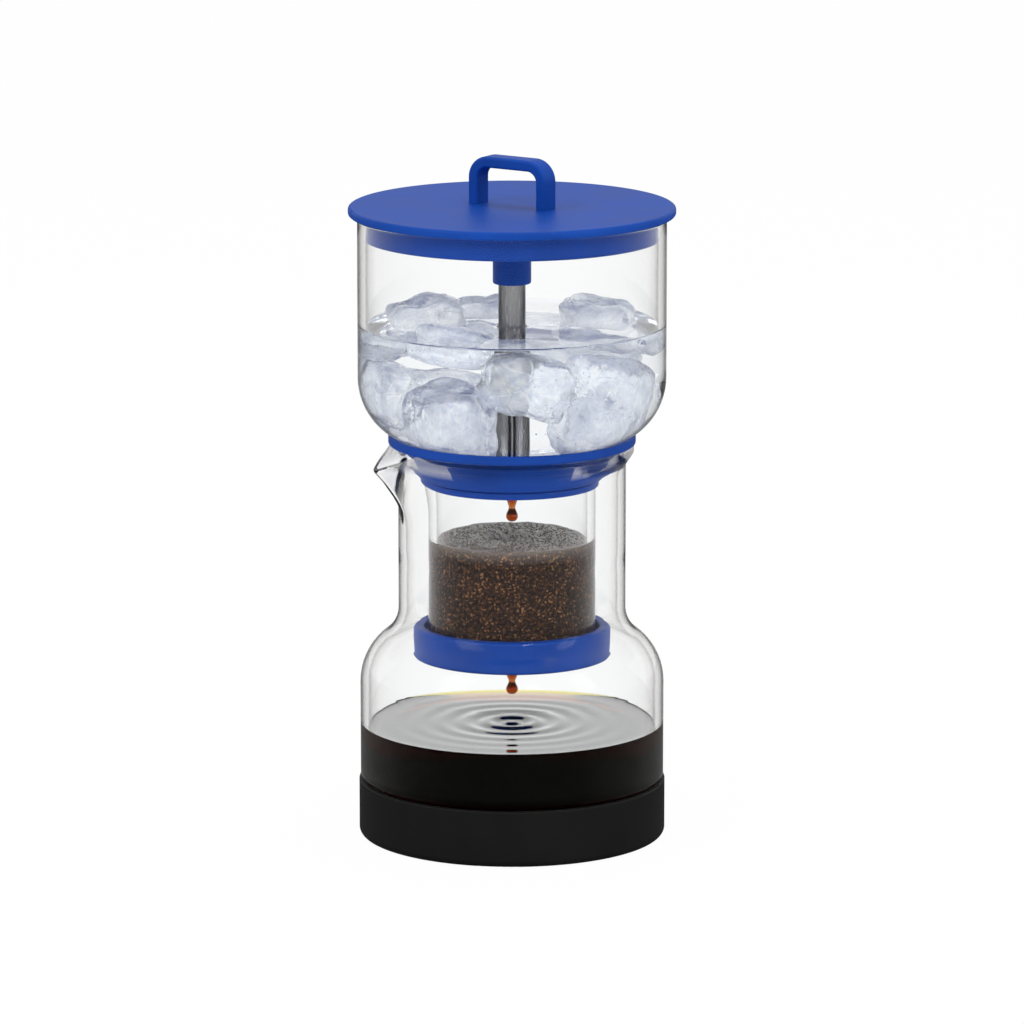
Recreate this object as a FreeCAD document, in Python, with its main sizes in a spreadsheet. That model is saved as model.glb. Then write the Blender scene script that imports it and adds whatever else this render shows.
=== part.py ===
import FreeCAD, Part
import math
import os

import Sketcher

# Cold brew coffee maker: a water tank drips through a needle valve on a bed of
# grounds, and the coffee gathers in the carafe below.
# Millimetres, +Z up, the origin at the centre of the base boot's underside.
# The spout points to -X, turned a little towards -Y.

SIZES = (
    ("boot_outer_r", 60.2, "silicone boot round the carafe's foot"),
    ("boot_tall", 22.3, "boot height"),
    ("boot_floor", 3.0, "boot bottom thickness"),
    ("boot_round", 2.6, "boot lower edge"),
    ("boot_wall", 2.1, "boot side wall"),
    ("groove_deep", 0.7, "grip grooves under the boot"),
    ("groove_wide", 1.6, "grip groove width"),
    ("groove_first_r", 22.0, "innermost grip groove"),
    ("groove_step", 13.0, "from one grip groove to the next"),
    ("snug", 0.1, "radial clearance of parts that are pushed together"),
    ("loose", 0.3, "clearance of soft or curved neighbours"),
    ("boot_lip_round", 0.5, "boot upper edge"),
    ("groove_count", 3, "number of grip grooves"),
    ("boot_proud", 0.6, "boot outside the carafe body"),
    ("carafe_wall", 3.0, "carafe glass"),
    ("carafe_floor", 3.6, "carafe glass bottom"),
    ("foot_round", 4.0, "carafe foot corner"),
    ("foot_step_up", 1.6, "slope from the foot out to the body"),
    ("foot_inner_round", 6.0, "inner corner over the foot"),
    ("shoulder_corner_z", 72.9, "where body and shoulder lines would meet"),
    ("shoulder_lean", 52.9, "shoulder slope from upright, degrees"),
    ("shoulder_share", 0.62, "shoulder's part of the curve to the neck"),
    ("neck_share", 0.36, "neck's part of that curve"),
    ("neck_room", 3.0, "room between filter cup and carafe neck"),
    ("neck_low_z", 92.0, "where the carafe's bowl ends and its neck starts"),
    ("rim_proud", 3.2, "carafe's rolled rim outside its neck"),
    ("rim_top_z", 156.4, "carafe rim height"),
    ("rim_flare_tall", 8.0, "flare below the rim"),
    ("rim_mouth_tall", 3.0, "flare inside the rim"),
    ("rim_round", 1.3, "rim edges"),
    ("rim_mouth_round", 1.5, "inner corner of the rim"),
    ("rim_land_tall", 3.2, "upright edge of the rim"),
    ("spout_turn", 15.0, "spout direction from -X towards -Y, degrees"),
    ("spout_out", 12.7, "spout tip outside the neck"),
    ("spout_tip_z", 149.2, "spout tip height"),
    ("spout_low_z", 127.0, "where the throat leaves the neck"),
    ("spout_bend_z", 136.5, "where the throat bends out"),
    ("spout_bend_out", 2.1, "throat outside the neck at that bend"),
    ("spout_low_in", 0.4, "throat inside the neck's face at its lower end"),
    ("spout_root_in", 2.5, "start of the spout's dip inside the neck's face"),
    ("spout_cut_wide", 46.0, "width of the dip"),
    ("spout_over", 8.0, "how far the lofts run past the rim"),
    ("spout_nose_r", 4.6, "spout nose, seen from above"),
    ("spout_wall", 2.4, "spout glass"),
    ("spout_flank_in", 1.2, "circle tangent to the spout's sides, inside the neck's face"),
    ("coffee_top_z", 44.9, "surface of the brewed coffee"),
    ("chamber_outer_r", 32.8, "brew chamber glass"),
    ("chamber_wall", 3.2, "brew chamber glass wall"),
    ("chamber_low_z", 75.5, "brew chamber lower end"),
    ("chamber_top_z", 149.6, "brew chamber upper end"),
    ("chamber_edge", 1.0, "brew chamber edges"),
    ("gasket_thick", 1.2, "gasket over the brew chamber"),
    ("grounds_top_z", 119.0, "top of the coffee grounds"),
    ("tank_wall", 3.0, "water tank glass"),
    ("tank_low_z", 156.6, "underside of the water tank"),
    ("tank_top_z", 246.3, "water tank rim"),
    ("tank_flat_r", 34.2, "flat middle of the tank's bottom"),
    ("tank_hole_r", 8.0, "hole in the tank's bottom"),
    ("water_top_z", 203.0, "water surface"),
    ("seal_lip_proud", 0.7, "collar seal's lip outside the carafe rim"),
    ("seal_lip_land", 0.85, "straight edge of the dish at the lip"),
    ("seal_lip_round", 0.7, "lip outer edge"),
    ("seal_lip_edge", 0.35, "lip upper edge"),
    ("seal_rim_gap", 1.0, "room between the seal and the rim's mouth"),
    ("seal_notch", 0.5, "notch between taper and end ring"),
    ("seal_edge", 0.25, "end ring edge"),
    ("seal_fin_z", 152.4, "underside of the fin"),
    ("seal_fin_tall", 1.8, "fin edge"),
    ("seal_fin_proud", 1.8, "fin outside the taper"),
    ("seal_taper_wall", 2.4, "wall at the taper's lower end"),
    ("seal_taper_low_z", 143.4, "lower end of the taper"),
    ("seal_ring_wall", 1.0, "end ring round the chamber"),
    ("seal_ring_low_z", 140.2, "underside of the end ring"),
    ("seal_ring_tall", 2.5, "end ring height"),
    ("port_r", 12.0, "hole in the seal floor for the valve"),
    ("cup_wall", 5.6, "filter cup wall"),
    ("cup_low_z", 71.4, "underside of the filter cup"),
    ("cup_tall", 12.6, "filter cup height"),
    ("cup_floor", 2.0, "filter cup floor"),
    ("cup_mouth_flare", 1.3, "flare of the filter cup's mouth"),
    ("cup_mouth_deep", 3.0, "depth of the flared mouth"),
    ("cup_edge", 1.3, "filter cup outer edges"),
    ("cup_mouth_edge", 0.65, "filter cup mouth edge"),
    ("cup_nozzle_r", 4.2, "filter cup's nozzle at its root"),
    ("nozzle_tip_r", 2.4, "both nozzles at their tips"),
    ("nozzle_tip_round", 0.5, "edge of both tips"),
    ("nozzle_bore_r", 1.0, "both nozzles' bores"),
    ("cup_nozzle_z", 65.4, "tip of the filter cup's nozzle"),
    ("rib_wide", 1.6, "ribs that carry the mesh"),
    ("rib_root_r", 4.0, "inner ends of those ribs"),
    ("rib_count", 8, "number of those ribs"),
    ("mesh_frame_wide", 3.4, "steel ring round the mesh"),
    ("mesh_ledge", 2.6, "ledge that the ring lies on"),
    ("mesh_frame_tall", 0.8, "thickness of that ring"),
    ("mesh_thick", 0.3, "steel filter mesh"),
    ("mesh_open_share", 0.0375, "radius of the mesh's openings, share of its own"),
    ("mesh_rim", 0.64, "plain edge of the mesh"),
    ("mesh_rows", 5, "openings along a spoke"),
    ("mesh_first_row", 1.3, "first opening from the axis, in steps"),
    ("mesh_spokes", 18, "spokes of openings"),
    ("drop_r", 2.35, "a hanging drop"),
    ("drop_low_round", 2.1, "round of its underside"),
    ("drop_high_round", 1.4, "round of its shoulder"),
    ("drop_bulb_tall", 4.7, "height of its bulb"),
    ("drop_tail_r", 1.5, "its neck"),
    ("drop_tail_up", 7.0, "neck above the underside"),
    ("drop_tail_round", 0.6, "round of the neck"),
    ("drop_long", 9.9, "its length"),
    ("stem_outer_r", 5.3, "steel stem tube"),
    ("stem_wall", 0.9, "stem tube wall"),
    ("stem_top_z", 233.0, "upper end of the stem tube"),
    ("stem_flat", 4.2, "from the axis to the stem's drive flats"),
    ("stem_flat_tall", 12.0, "length of the drive flats"),
    ("slot_wide", 2.6, "water inlets in the stem tube"),
    ("slot_tall", 7.0, "height of the inlets"),
    ("slot_lift", 3.4, "inlets above the tube's end"),
    ("slot_count", 4, "number of inlets"),
    ("thread_nut_tall", 9.0, "threaded bush inside the stem tube"),
    ("thread_nut_z", 184.0, "underside of that bush"),
    ("needle_r", 1.9, "needle rod"),
    ("needle_top_z", 206.0, "upper end of the needle"),
    ("needle_tip_r", 0.5, "needle point"),
    ("needle_tip_tall", 6.0, "cone of the needle"),
    ("needle_gap", 1.1, "needle above its seat in the stored pose"),
    ("running", 0.06, "radial clearance of turning and sliding parts"),
    ("grommet_flange_r", 10.4, "silicone grommet's flanges"),
    ("grommet_flange", 1.3, "thickness of each flange"),
    ("grommet_edge", 0.6, "edge of the upper flange"),
    ("body_shank_r", 5.4, "valve body's shank"),
    ("body_bore_r", 3.2, "valve body's bore"),
    ("body_outlet_r", 2.2, "its outlet under the seat"),
    ("body_head_r", 6.3, "valve body's head"),
    ("body_head", 1.4, "thickness of that head"),
    ("body_spigot_tall", 3.0, "height of that spigot"),
    ("seat_tall", 3.0, "valve seat insert"),
    ("seat_hole_r", 1.2, "hole in the valve seat"),
    ("seat_low_z", 152.6, "underside of the valve seat"),
    ("nut_across", 15.0, "lock nut across its flats"),
    ("nut_tall", 4.0, "lock nut height"),
    ("body_low_z", 145.0, "lower end of the valve body"),
    ("nozzle_outer_r", 6.9, "drip nozzle's skirt"),
    ("nozzle_waist_z", 141.5, "where the nozzle starts to narrow"),
    ("nozzle_skirt", 5.0, "height of the skirt round the valve body"),
    ("nozzle_tip_z", 135.0, "tip of the drip nozzle"),
    ("washer_thick", 0.8, "washer inside the drip nozzle"),
    ("lid_overhang", 3.6, "lid disc outside the tank"),
    ("lid_low_z", 246.5, "underside of the lid disc"),
    ("lid_thick", 3.4, "lid disc thickness"),
    ("lid_edge", 1.2, "lid disc edge"),
    ("plug_wall", 4.0, "wall of the lid ring in the tank's mouth"),
    ("plug_tall", 8.9, "lid ring height"),
    ("plug_edge", 1.0, "lid ring edges"),
    ("boss_outer_r", 7.5, "drive boss under the lid"),
    ("boss_round", 0.8, "its edges"),
    ("boss_low_z", 219.6, "lower end of the boss"),
    ("boss_collar_r", 9.4, "collar at the boss's root"),
    ("boss_collar", 3.0, "height of that collar"),
    ("boss_peg_r", 5.0, "peg that is pressed into the disc"),
    ("boss_peg", 1.8, "height of that peg"),
    ("boss_screw_r", 1.5, "screws of handle and boss"),
    ("screw_head_r", 2.8, "their heads"),
    ("screw_head", 1.7, "height of a head"),
    ("screw_grip", 6.0, "screw length inside the handle's leg"),
    ("handle_turn", 32.9, "handle turned clockwise from X, degrees"),
    ("handle_span", 35.5, "handle across its legs"),
    ("handle_tall", 19.0, "handle above the lid"),
    ("handle_thick", 4.4, "strap thickness"),
    ("handle_wide", 8.6, "strap width"),
    ("handle_bend", 8.6, "outer bend of the strap"),
    ("handle_edge", 1.1, "rounded edges of the strap"),
    ("ice_chamfer", 3.0, "melted corners of the ice"),
    ("flat_count", 2, "drive flats, and legs of the handle"),
    ("no_gap", 0, "pieces face to face"),
)

# Places and sizes that follow from the ones above.
DERIVED = (
    ("foot_r", "boot_outer_r - boot_wall - snug"),
    ("carafe_outer_r", "boot_outer_r - boot_proud"),
    ("carafe_inner_r", "carafe_outer_r - carafe_wall"),
    ("cup_bore_r", "chamber_outer_r + snug"),
    ("cup_outer_r", "cup_bore_r + cup_wall"),
    ("cup_mouth_r", "cup_bore_r + cup_mouth_flare"),
    ("neck_inner_r", "cup_outer_r + neck_room"),
    ("neck_outer_r", "neck_inner_r + carafe_wall"),
    ("rim_outer_r", "neck_outer_r + rim_proud"),
    ("spout_reach", "neck_outer_r + spout_out"),
    ("spout_bend_reach", "neck_outer_r + spout_bend_out"),
    ("spout_root", "neck_outer_r - spout_root_in"),
    ("spout_flank_r", "neck_outer_r - spout_flank_in"),
    ("foot_inner_r", "foot_r - carafe_wall"),
    ("carafe_floor_z", "boot_floor + carafe_floor"),
    ("step_low_z", "boot_tall + loose"),
    ("step_top_z", "step_low_z + foot_step_up"),
    ("neck_corner_z", "shoulder_corner_z + (carafe_outer_r - neck_outer_r) / tan(shoulder_lean)"),
    ("bend_sum", "(carafe_outer_r - neck_outer_r) / (1 - cos(shoulder_lean))"),
    ("shoulder_round", "shoulder_share * bend_sum"),
    ("neck_round", "neck_share * bend_sum"),
    ("inner_drop", "carafe_wall * tan(shoulder_lean / 2)"),
    ("rim_inner_r", "rim_outer_r - carafe_wall"),
    ("chamber_inner_r", "chamber_outer_r - chamber_wall"),
    ("gasket_top_z", "chamber_top_z + gasket_thick"),
    ("seal_floor_z", "tank_low_z - loose"),
    ("tank_outer_r", "boot_outer_r"),
    ("tank_corner", "tank_outer_r - tank_flat_r"),
    ("seal_lip_r", "rim_outer_r + seal_lip_proud"),
    ("seal_fin_r", "neck_inner_r - snug"),
    ("seal_taper_top_r", "seal_fin_r - seal_fin_proud"),
    ("seal_taper_low_r", "cup_bore_r + seal_taper_wall"),
    ("seal_ring_r", "cup_bore_r + seal_ring_wall"),
    ("dish_round", "tank_corner + loose"),
    ("dish_lean", "asin((seal_lip_r - seal_lip_land - tank_flat_r) / dish_round)"),
    ("dish_corner_r", "tank_flat_r + dish_round * tan(dish_lean / 2)"),
    ("seal_lip_z", "seal_floor_z + (seal_lip_r - dish_corner_r) * tan(dish_lean)"),
    ("seal_ring_top_z", "seal_ring_low_z + seal_ring_tall"),
    ("cup_top_z", "cup_low_z + cup_tall"),
    ("cup_floor_z", "cup_low_z + cup_floor"),
    ("mesh_frame_top_z", "chamber_low_z - loose"),
    ("mesh_frame_low_z", "mesh_frame_top_z - mesh_frame_tall"),
    ("mesh_frame_bore_r", "chamber_outer_r - mesh_frame_wide"),
    ("mesh_r", "mesh_frame_bore_r - snug"),
    ("mesh_last_row", "mesh_first_row + mesh_rows - 1"),
    ("mesh_hole_r", "mesh_open_share * mesh_r"),
    ("mesh_hole_step", "(mesh_r - mesh_hole_r - mesh_rim) / mesh_last_row"),
    ("ledge_r", "cup_bore_r - mesh_ledge"),
    ("rib_tall", "mesh_frame_low_z - cup_floor_z"),
    ("tank_inner_r", "tank_outer_r - tank_wall"),
    ("tank_floor_z", "tank_low_z + tank_wall"),
    ("tank_corner_z", "tank_low_z + tank_corner"),
    ("body_head_z", "tank_floor_z + grommet_flange"),
    ("body_head_top_z", "body_head_z + body_head"),
    ("nut_top_z", "tank_low_z - grommet_flange"),
    ("seat_top_z", "seat_low_z + seat_tall"),
    ("needle_low_z", "seat_top_z + needle_gap"),
    ("lid_top_z", "lid_low_z + lid_thick"),
    ("stem_bore_r", "stem_outer_r - stem_wall"),
    ("stem_low_z", "body_head_top_z + loose"),
    ("spigot_top_z", "body_head_top_z + body_spigot_tall"),
    ("flat_low_z", "stem_top_z - stem_flat_tall"),
    ("socket_top_z", "stem_top_z + loose"),
    ("lid_outer_r", "tank_outer_r + lid_overhang"),
    ("plug_outer_r", "tank_inner_r - snug"),
    ("leg_offset", "(handle_span - handle_thick) / 2"),
)

# Ice blocks: middle (x, y, z from the tank's floor) and edge lengths, as shares of the
# tank's inner radius, then turns about X, Y and Z in degrees.
ICE_BLOCKS = (
    ((-0.594, 0.245, 0.715), (0.455, 0.350, 0.315), (10.0, -8.0, 22.0)),
    ((-0.376, -0.420, 0.698), (0.420, 0.297, 0.210), (-8.0, 6.0, -24.0)),
    ((0.087, -0.498, 0.462), (0.472, 0.297, 0.332), (8.0, 10.0, 8.0)),
    ((-0.367, -0.411, 0.234), (0.437, 0.385, 0.350), (12.0, -10.0, 30.0)),
    ((0.542, -0.297, 0.322), (0.402, 0.472, 0.490), (-10.0, 14.0, -32.0)),
    ((0.586, 0.245, 0.733), (0.455, 0.350, 0.262), (6.0, 8.0, -20.0)),
    ((-0.682, -0.052, 0.365), (0.297, 0.402, 0.262), (8.0, 6.0, 12.0)),
    ((-0.210, 0.629, 0.689), (0.350, 0.297, 0.245), (5.0, -6.0, 12.0)),
    ((0.219, 0.586, 0.409), (0.420, 0.332, 0.280), (-6.0, 8.0, -14.0)),
    ((-0.315, 0.420, 0.243), (0.420, 0.367, 0.315), (8.0, 6.0, 30.0)),
    ((0.455, 0.332, 0.182), (0.297, 0.262, 0.149), (4.0, 5.0, 12.0)),
)

BOX_EDGES = 12

doc = FreeCAD.newDocument("cold_brew_maker")


class Book:
    """The sheet of sizes, and cells worked out from them."""

    def __init__(self):
        self.sheet = doc.addObject("Spreadsheet::Sheet", "sizes")
        self.row = 0
        self.known = set()
        self.stale = False

    def put(self, alias, content, note=""):
        self.row += 1
        cell = "B%d" % self.row
        self.sheet.set("A%d" % self.row, note)
        self.sheet.set(cell, content)
        self.sheet.setAlias(cell, alias)
        self.known.add(alias)
        self.stale = True

    def named(self, formula, alias):
        """Give a formula a cell of its own, unless it is already a named size."""
        if formula in self.known:
            return formula
        if alias not in self.known:
            self.put(alias, "=" + formula)
        return alias

    def value(self, alias):
        if self.stale:
            doc.recompute([self.sheet])
            self.stale = False
        return float(self.sheet.get(alias))


book = Book()
for alias, number, note in SIZES:
    book.put(alias, str(number), note)
for alias, formula in DERIVED:
    book.put(alias, "=" + formula)
doc.recompute()


def bind(thing, path, alias):
    thing.setExpression(path, "sizes." + alias)


def origin_plane(body, role):
    return [item for item in body.Origin.OriginFeatures if item.Role == role][0]


def new_body(name):
    body = doc.addObject("PartDesign::Body", name)
    body.Label = name
    return body


def new_sketch(body, name, role, height=None):
    """A sketch on one of the body's origin planes, lifted to a named height."""
    sketch = body.newObject("Sketcher::SketchObject", name)
    sketch.AttachmentSupport = [(origin_plane(body, role), "")]
    sketch.MapMode = "FlatFace"
    if height:
        sketch.AttachmentOffset = FreeCAD.Placement(
            FreeCAD.Vector(0, 0, book.value(height)), FreeCAD.Rotation()
        )
        bind(sketch, ".AttachmentOffset.Base.z", height)
    return sketch


def pin_point(sketch, geometry, end, across, up, side=1):
    """Tie a point of the sketch to two named sizes, or to an axis at zero."""
    ties = (("DistanceX", across, -2, side), ("DistanceY", up, -1, 1))
    for kind, alias, axis, way in ties:
        if not book.value(alias):
            sketch.addConstraint(Sketcher.Constraint("PointOnObject", geometry, end, axis))
            continue
        ends = (-1, 1, geometry, end) if way > 0 else (geometry, end, -1, 1)
        index = sketch.addConstraint(Sketcher.Constraint(kind, *ends, book.value(alias)))
        bind(sketch, "Constraints[%d]" % index, alias)


def corner_cells(label, corners):
    """Name each corner's place and rounding: (across, up, rounding or None)."""
    cells = []
    for number, (across, up, rounding) in enumerate(item[:3] for item in corners):
        tag = "%s_%d_" % (label, number)
        if rounding:
            rounding = book.named(rounding, tag + "round")
        across = book.named(across, tag + "across")
        cells.append((across, book.named(up, tag + "up"), rounding))
    return cells


def draw_outline(sketch, label, corners, side=1):
    """A closed outline of straight runs, with a tangent arc at each rounded corner.

    A corner is (across, up, rounding), and a fourth item, 1 or -1, gives its own side.
    """
    cells = corner_cells(label, corners)
    count = len(cells)
    sides = [(tuple(item) + (side,))[3] for item in corners]
    spots = [
        FreeCAD.Vector(way * book.value(across), book.value(up), 0)
        for way, (across, up, _) in zip(sides, cells)
    ]
    trims = []
    for i, (_, _, rounding) in enumerate(cells):
        back = (spots[i - 1] - spots[i]).normalize()
        ahead = (spots[(i + 1) % count] - spots[i]).normalize()
        reach = 0.0
        if rounding:
            reach = book.value(rounding) / math.tan(back.getAngle(ahead) / 2)
        trims.append((back, ahead, reach))
    lines = []
    for i in range(count):
        after = (i + 1) % count
        start = spots[i] + trims[i][1] * trims[i][2]
        finish = spots[after] + trims[after][0] * trims[after][2]
        lines.append(sketch.addGeometry(Part.LineSegment(start, finish), False))
    for i, (across, up, rounding) in enumerate(cells):
        before = lines[i - 1]
        here = lines[i]
        if not rounding:
            sketch.addConstraint(Sketcher.Constraint("Coincident", before, 2, here, 1))
            pin_point(sketch, here, 1, across, up, sides[i])
            continue
        back, ahead, reach = trims[i]
        radius = book.value(rounding)
        middle = (back + ahead).normalize() * math.hypot(reach, radius) + spots[i]
        turn_left = back.cross(ahead).z < 0
        first = spots[i] + (back if turn_left else ahead) * reach - middle
        last = spots[i] + (ahead if turn_left else back) * reach - middle
        start_angle = math.atan2(first.y, first.x)
        end_angle = math.atan2(last.y, last.x)
        circle = Part.Circle(middle, FreeCAD.Vector(0, 0, 1), radius)
        arc = sketch.addGeometry(Part.ArcOfCircle(circle, start_angle, end_angle), False)
        point = sketch.addGeometry(Part.Point(spots[i]), True)
        enter = 1 if turn_left else 2
        leave = 3 - enter
        sketch.addConstraint([
            Sketcher.Constraint("Tangent", before, 2, arc, enter),
            Sketcher.Constraint("Tangent", here, 1, arc, leave),
            Sketcher.Constraint("PointOnObject", point, 1, before),
            Sketcher.Constraint("PointOnObject", point, 1, here),
        ])
        index = sketch.addConstraint(Sketcher.Constraint("Radius", arc, radius))
        bind(sketch, "Constraints[%d]" % index, rounding)
        pin_point(sketch, point, 1, across, up, sides[i])


def draw_circle(sketch, radius, across=None, up=None):
    """A circle of a named radius, at the origin or at a named place."""
    centre = FreeCAD.Vector(0, 0, 0)
    if across:
        centre = FreeCAD.Vector(book.value(across), book.value(up), 0)
    circle = Part.Circle(centre, FreeCAD.Vector(0, 0, 1), book.value(radius))
    ring = sketch.addGeometry(circle, False)
    index = sketch.addConstraint(Sketcher.Constraint("Radius", ring, book.value(radius)))
    bind(sketch, "Constraints[%d]" % index, radius)
    if across:
        pin_point(sketch, ring, 3, across, up)
    else:
        sketch.addConstraint(Sketcher.Constraint("Coincident", ring, 3, -1, 1))


def turn_profile(body, name, corners, kind="PartDesign::Revolution"):
    """Turn an outline in the XZ plane round the Z axis, as a solid or a groove."""
    sketch = new_sketch(body, name + "_profile", "XZ_Plane")
    draw_outline(sketch, name, corners)
    turned = body.newObject(kind, name + "_turned")
    turned.Profile = sketch
    turned.ReferenceAxis = (sketch, ["V_Axis"])
    turned.Angle = 360
    return turned


def turned(name, corners):
    body = new_body(name)
    turn_profile(body, name, corners)
    return body


def cut_pocket(body, sketch, name, depth=None, upward=False, centred=False):
    """Cut a sketch down, up or both ways by a named depth, or right through."""
    pocket = body.newObject("PartDesign::Pocket", name)
    pocket.Profile = sketch
    pocket.Reversed = upward
    pocket.Midplane = centred
    if depth:
        pocket.Length = book.value(depth)
        bind(pocket, "Length", depth)
    else:
        pocket.Type = "ThroughAll"
        pocket.Midplane = True
    return pocket


def repeat_round(body, feature, name, count):
    """Repeat a feature round the Z axis, a named number of times."""
    pattern = body.newObject("PartDesign::PolarPattern", name)
    pattern.Originals = [feature]
    pattern.Axis = (origin_plane(body, "Z_Axis"), [""])
    pattern.Angle = 360
    pattern.Occurrences = int(book.value(count))
    bind(pattern, "Occurrences", count)
    body.Tip = pattern
    return pattern


def turn_about_z(thing, alias, clockwise=False):
    """Turn a finished piece about the Z axis by a named angle."""
    axis = FreeCAD.Vector(0, 0, -1 if clockwise else 1)
    turn = FreeCAD.Rotation(axis, book.value(alias))
    thing.Placement = FreeCAD.Placement(FreeCAD.Vector(0, 0, 0), turn)
    bind(thing, ".Placement.Rotation.Angle", alias)


def make_base_boot():
    body = turned("base_boot", (
        ("0", "0", None),
        ("boot_outer_r", "0", "boot_round"),
        ("boot_outer_r", "boot_tall", "boot_lip_round"),
        ("boot_outer_r - boot_wall", "boot_tall", None),
        ("boot_outer_r - boot_wall", "boot_floor", "foot_round - snug"),
        ("0", "boot_floor", None),
    ))
    for number in range(int(book.value("groove_count"))):
        low = "groove_first_r + groove_step * %d" % number
        turn_profile(body, "base_boot_grip_%d" % number, (
            (low, "0", None),
            (low + " + groove_wide", "0", None),
            (low + " + groove_wide", "groove_deep", None),
            (low, "groove_deep", None),
        ), "PartDesign::Groove")
    return body


def spout_sketch(body, name, height, reach, nose, flank):
    """A spout section: a nose arc and a wide arc, joined by two tangent lines."""
    sketch = body.newObject("Sketcher::SketchObject", name)
    sketch.AttachmentSupport = [(origin_plane(body, "XY_Plane"), "")]
    sketch.MapMode = "FlatFace"
    turn = FreeCAD.Rotation(FreeCAD.Vector(0, 0, 1), book.value("spout_turn"))
    lift = FreeCAD.Vector(0, 0, book.value(height))
    sketch.AttachmentOffset = FreeCAD.Placement(lift, turn)
    bind(sketch, ".AttachmentOffset.Base.z", height)
    bind(sketch, ".AttachmentOffset.Rotation.Angle", "spout_turn")
    centre_alias = book.named("%s - %s" % (reach, nose), name + "_centre")
    away = book.value(centre_alias)
    small = book.value(nose)
    big = book.value(flank)
    lean = math.acos((big - small) / away)
    z_axis = FreeCAD.Vector(0, 0, 1)
    origin = FreeCAD.Vector(0, 0, 0)
    centre = FreeCAD.Vector(-away, 0, 0)
    wide_circle = Part.Circle(origin, z_axis, big)
    nose_circle = Part.Circle(centre, z_axis, small)
    left = FreeCAD.Vector(-math.cos(lean), math.sin(lean), 0)
    right = FreeCAD.Vector(-math.cos(lean), -math.sin(lean), 0)
    wide = sketch.addGeometry(Part.ArcOfCircle(wide_circle, lean - math.pi, math.pi - lean), False)
    tip = sketch.addGeometry(Part.ArcOfCircle(nose_circle, math.pi - lean, math.pi + lean), False)
    upper = sketch.addGeometry(Part.LineSegment(left * big, centre + left * small), False)
    lower = sketch.addGeometry(Part.LineSegment(centre + right * small, right * big), False)
    sketch.addConstraint([
        Sketcher.Constraint("Coincident", wide, 3, -1, 1),
        Sketcher.Constraint("PointOnObject", tip, 3, -1),
        Sketcher.Constraint("Tangent", wide, 2, upper, 1),
        Sketcher.Constraint("Tangent", upper, 2, tip, 1),
        Sketcher.Constraint("Tangent", tip, 2, lower, 1),
        Sketcher.Constraint("Tangent", lower, 2, wide, 1),
    ])
    ties = (
        (Sketcher.Constraint("Radius", wide, big), flank),
        (Sketcher.Constraint("Radius", tip, small), nose),
        (Sketcher.Constraint("DistanceX", tip, 3, -1, 1, away), centre_alias),
    )
    for tie, alias in ties:
        index = sketch.addConstraint(tie)
        bind(sketch, "Constraints[%d]" % index, alias)
    return sketch


def spout_loft(body, name, kind, inset):
    """Loft the spout from the neck to above the rim, inset by a named glass wall."""
    slope = "(spout_reach - spout_bend_reach) / (spout_tip_z - spout_bend_z)"
    top_z = book.named("rim_top_z + spout_over", name + "_top_z")
    heights = ("spout_low_z", "spout_bend_z", "spout_tip_z", top_z)
    reaches = (
        "neck_outer_r - spout_low_in",
        "spout_bend_reach",
        "spout_reach",
        "(spout_reach + %s * (%s - spout_tip_z))" % (slope, top_z),
    )
    nose = book.named("spout_nose_r%s" % inset, name + "_nose")
    flank = book.named("spout_flank_r%s" % inset, name + "_flank")
    sections = [
        spout_sketch(body, "%s_section_%d" % (name, i), heights[i], reaches[i] + inset, nose, flank)
        for i in range(len(heights))
    ]
    loft = body.newObject(kind, name)
    loft.Profile = sections[0]
    loft.Sections = sections[1:]
    loft.Ruled = False
    loft.Closed = False
    return loft


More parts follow.
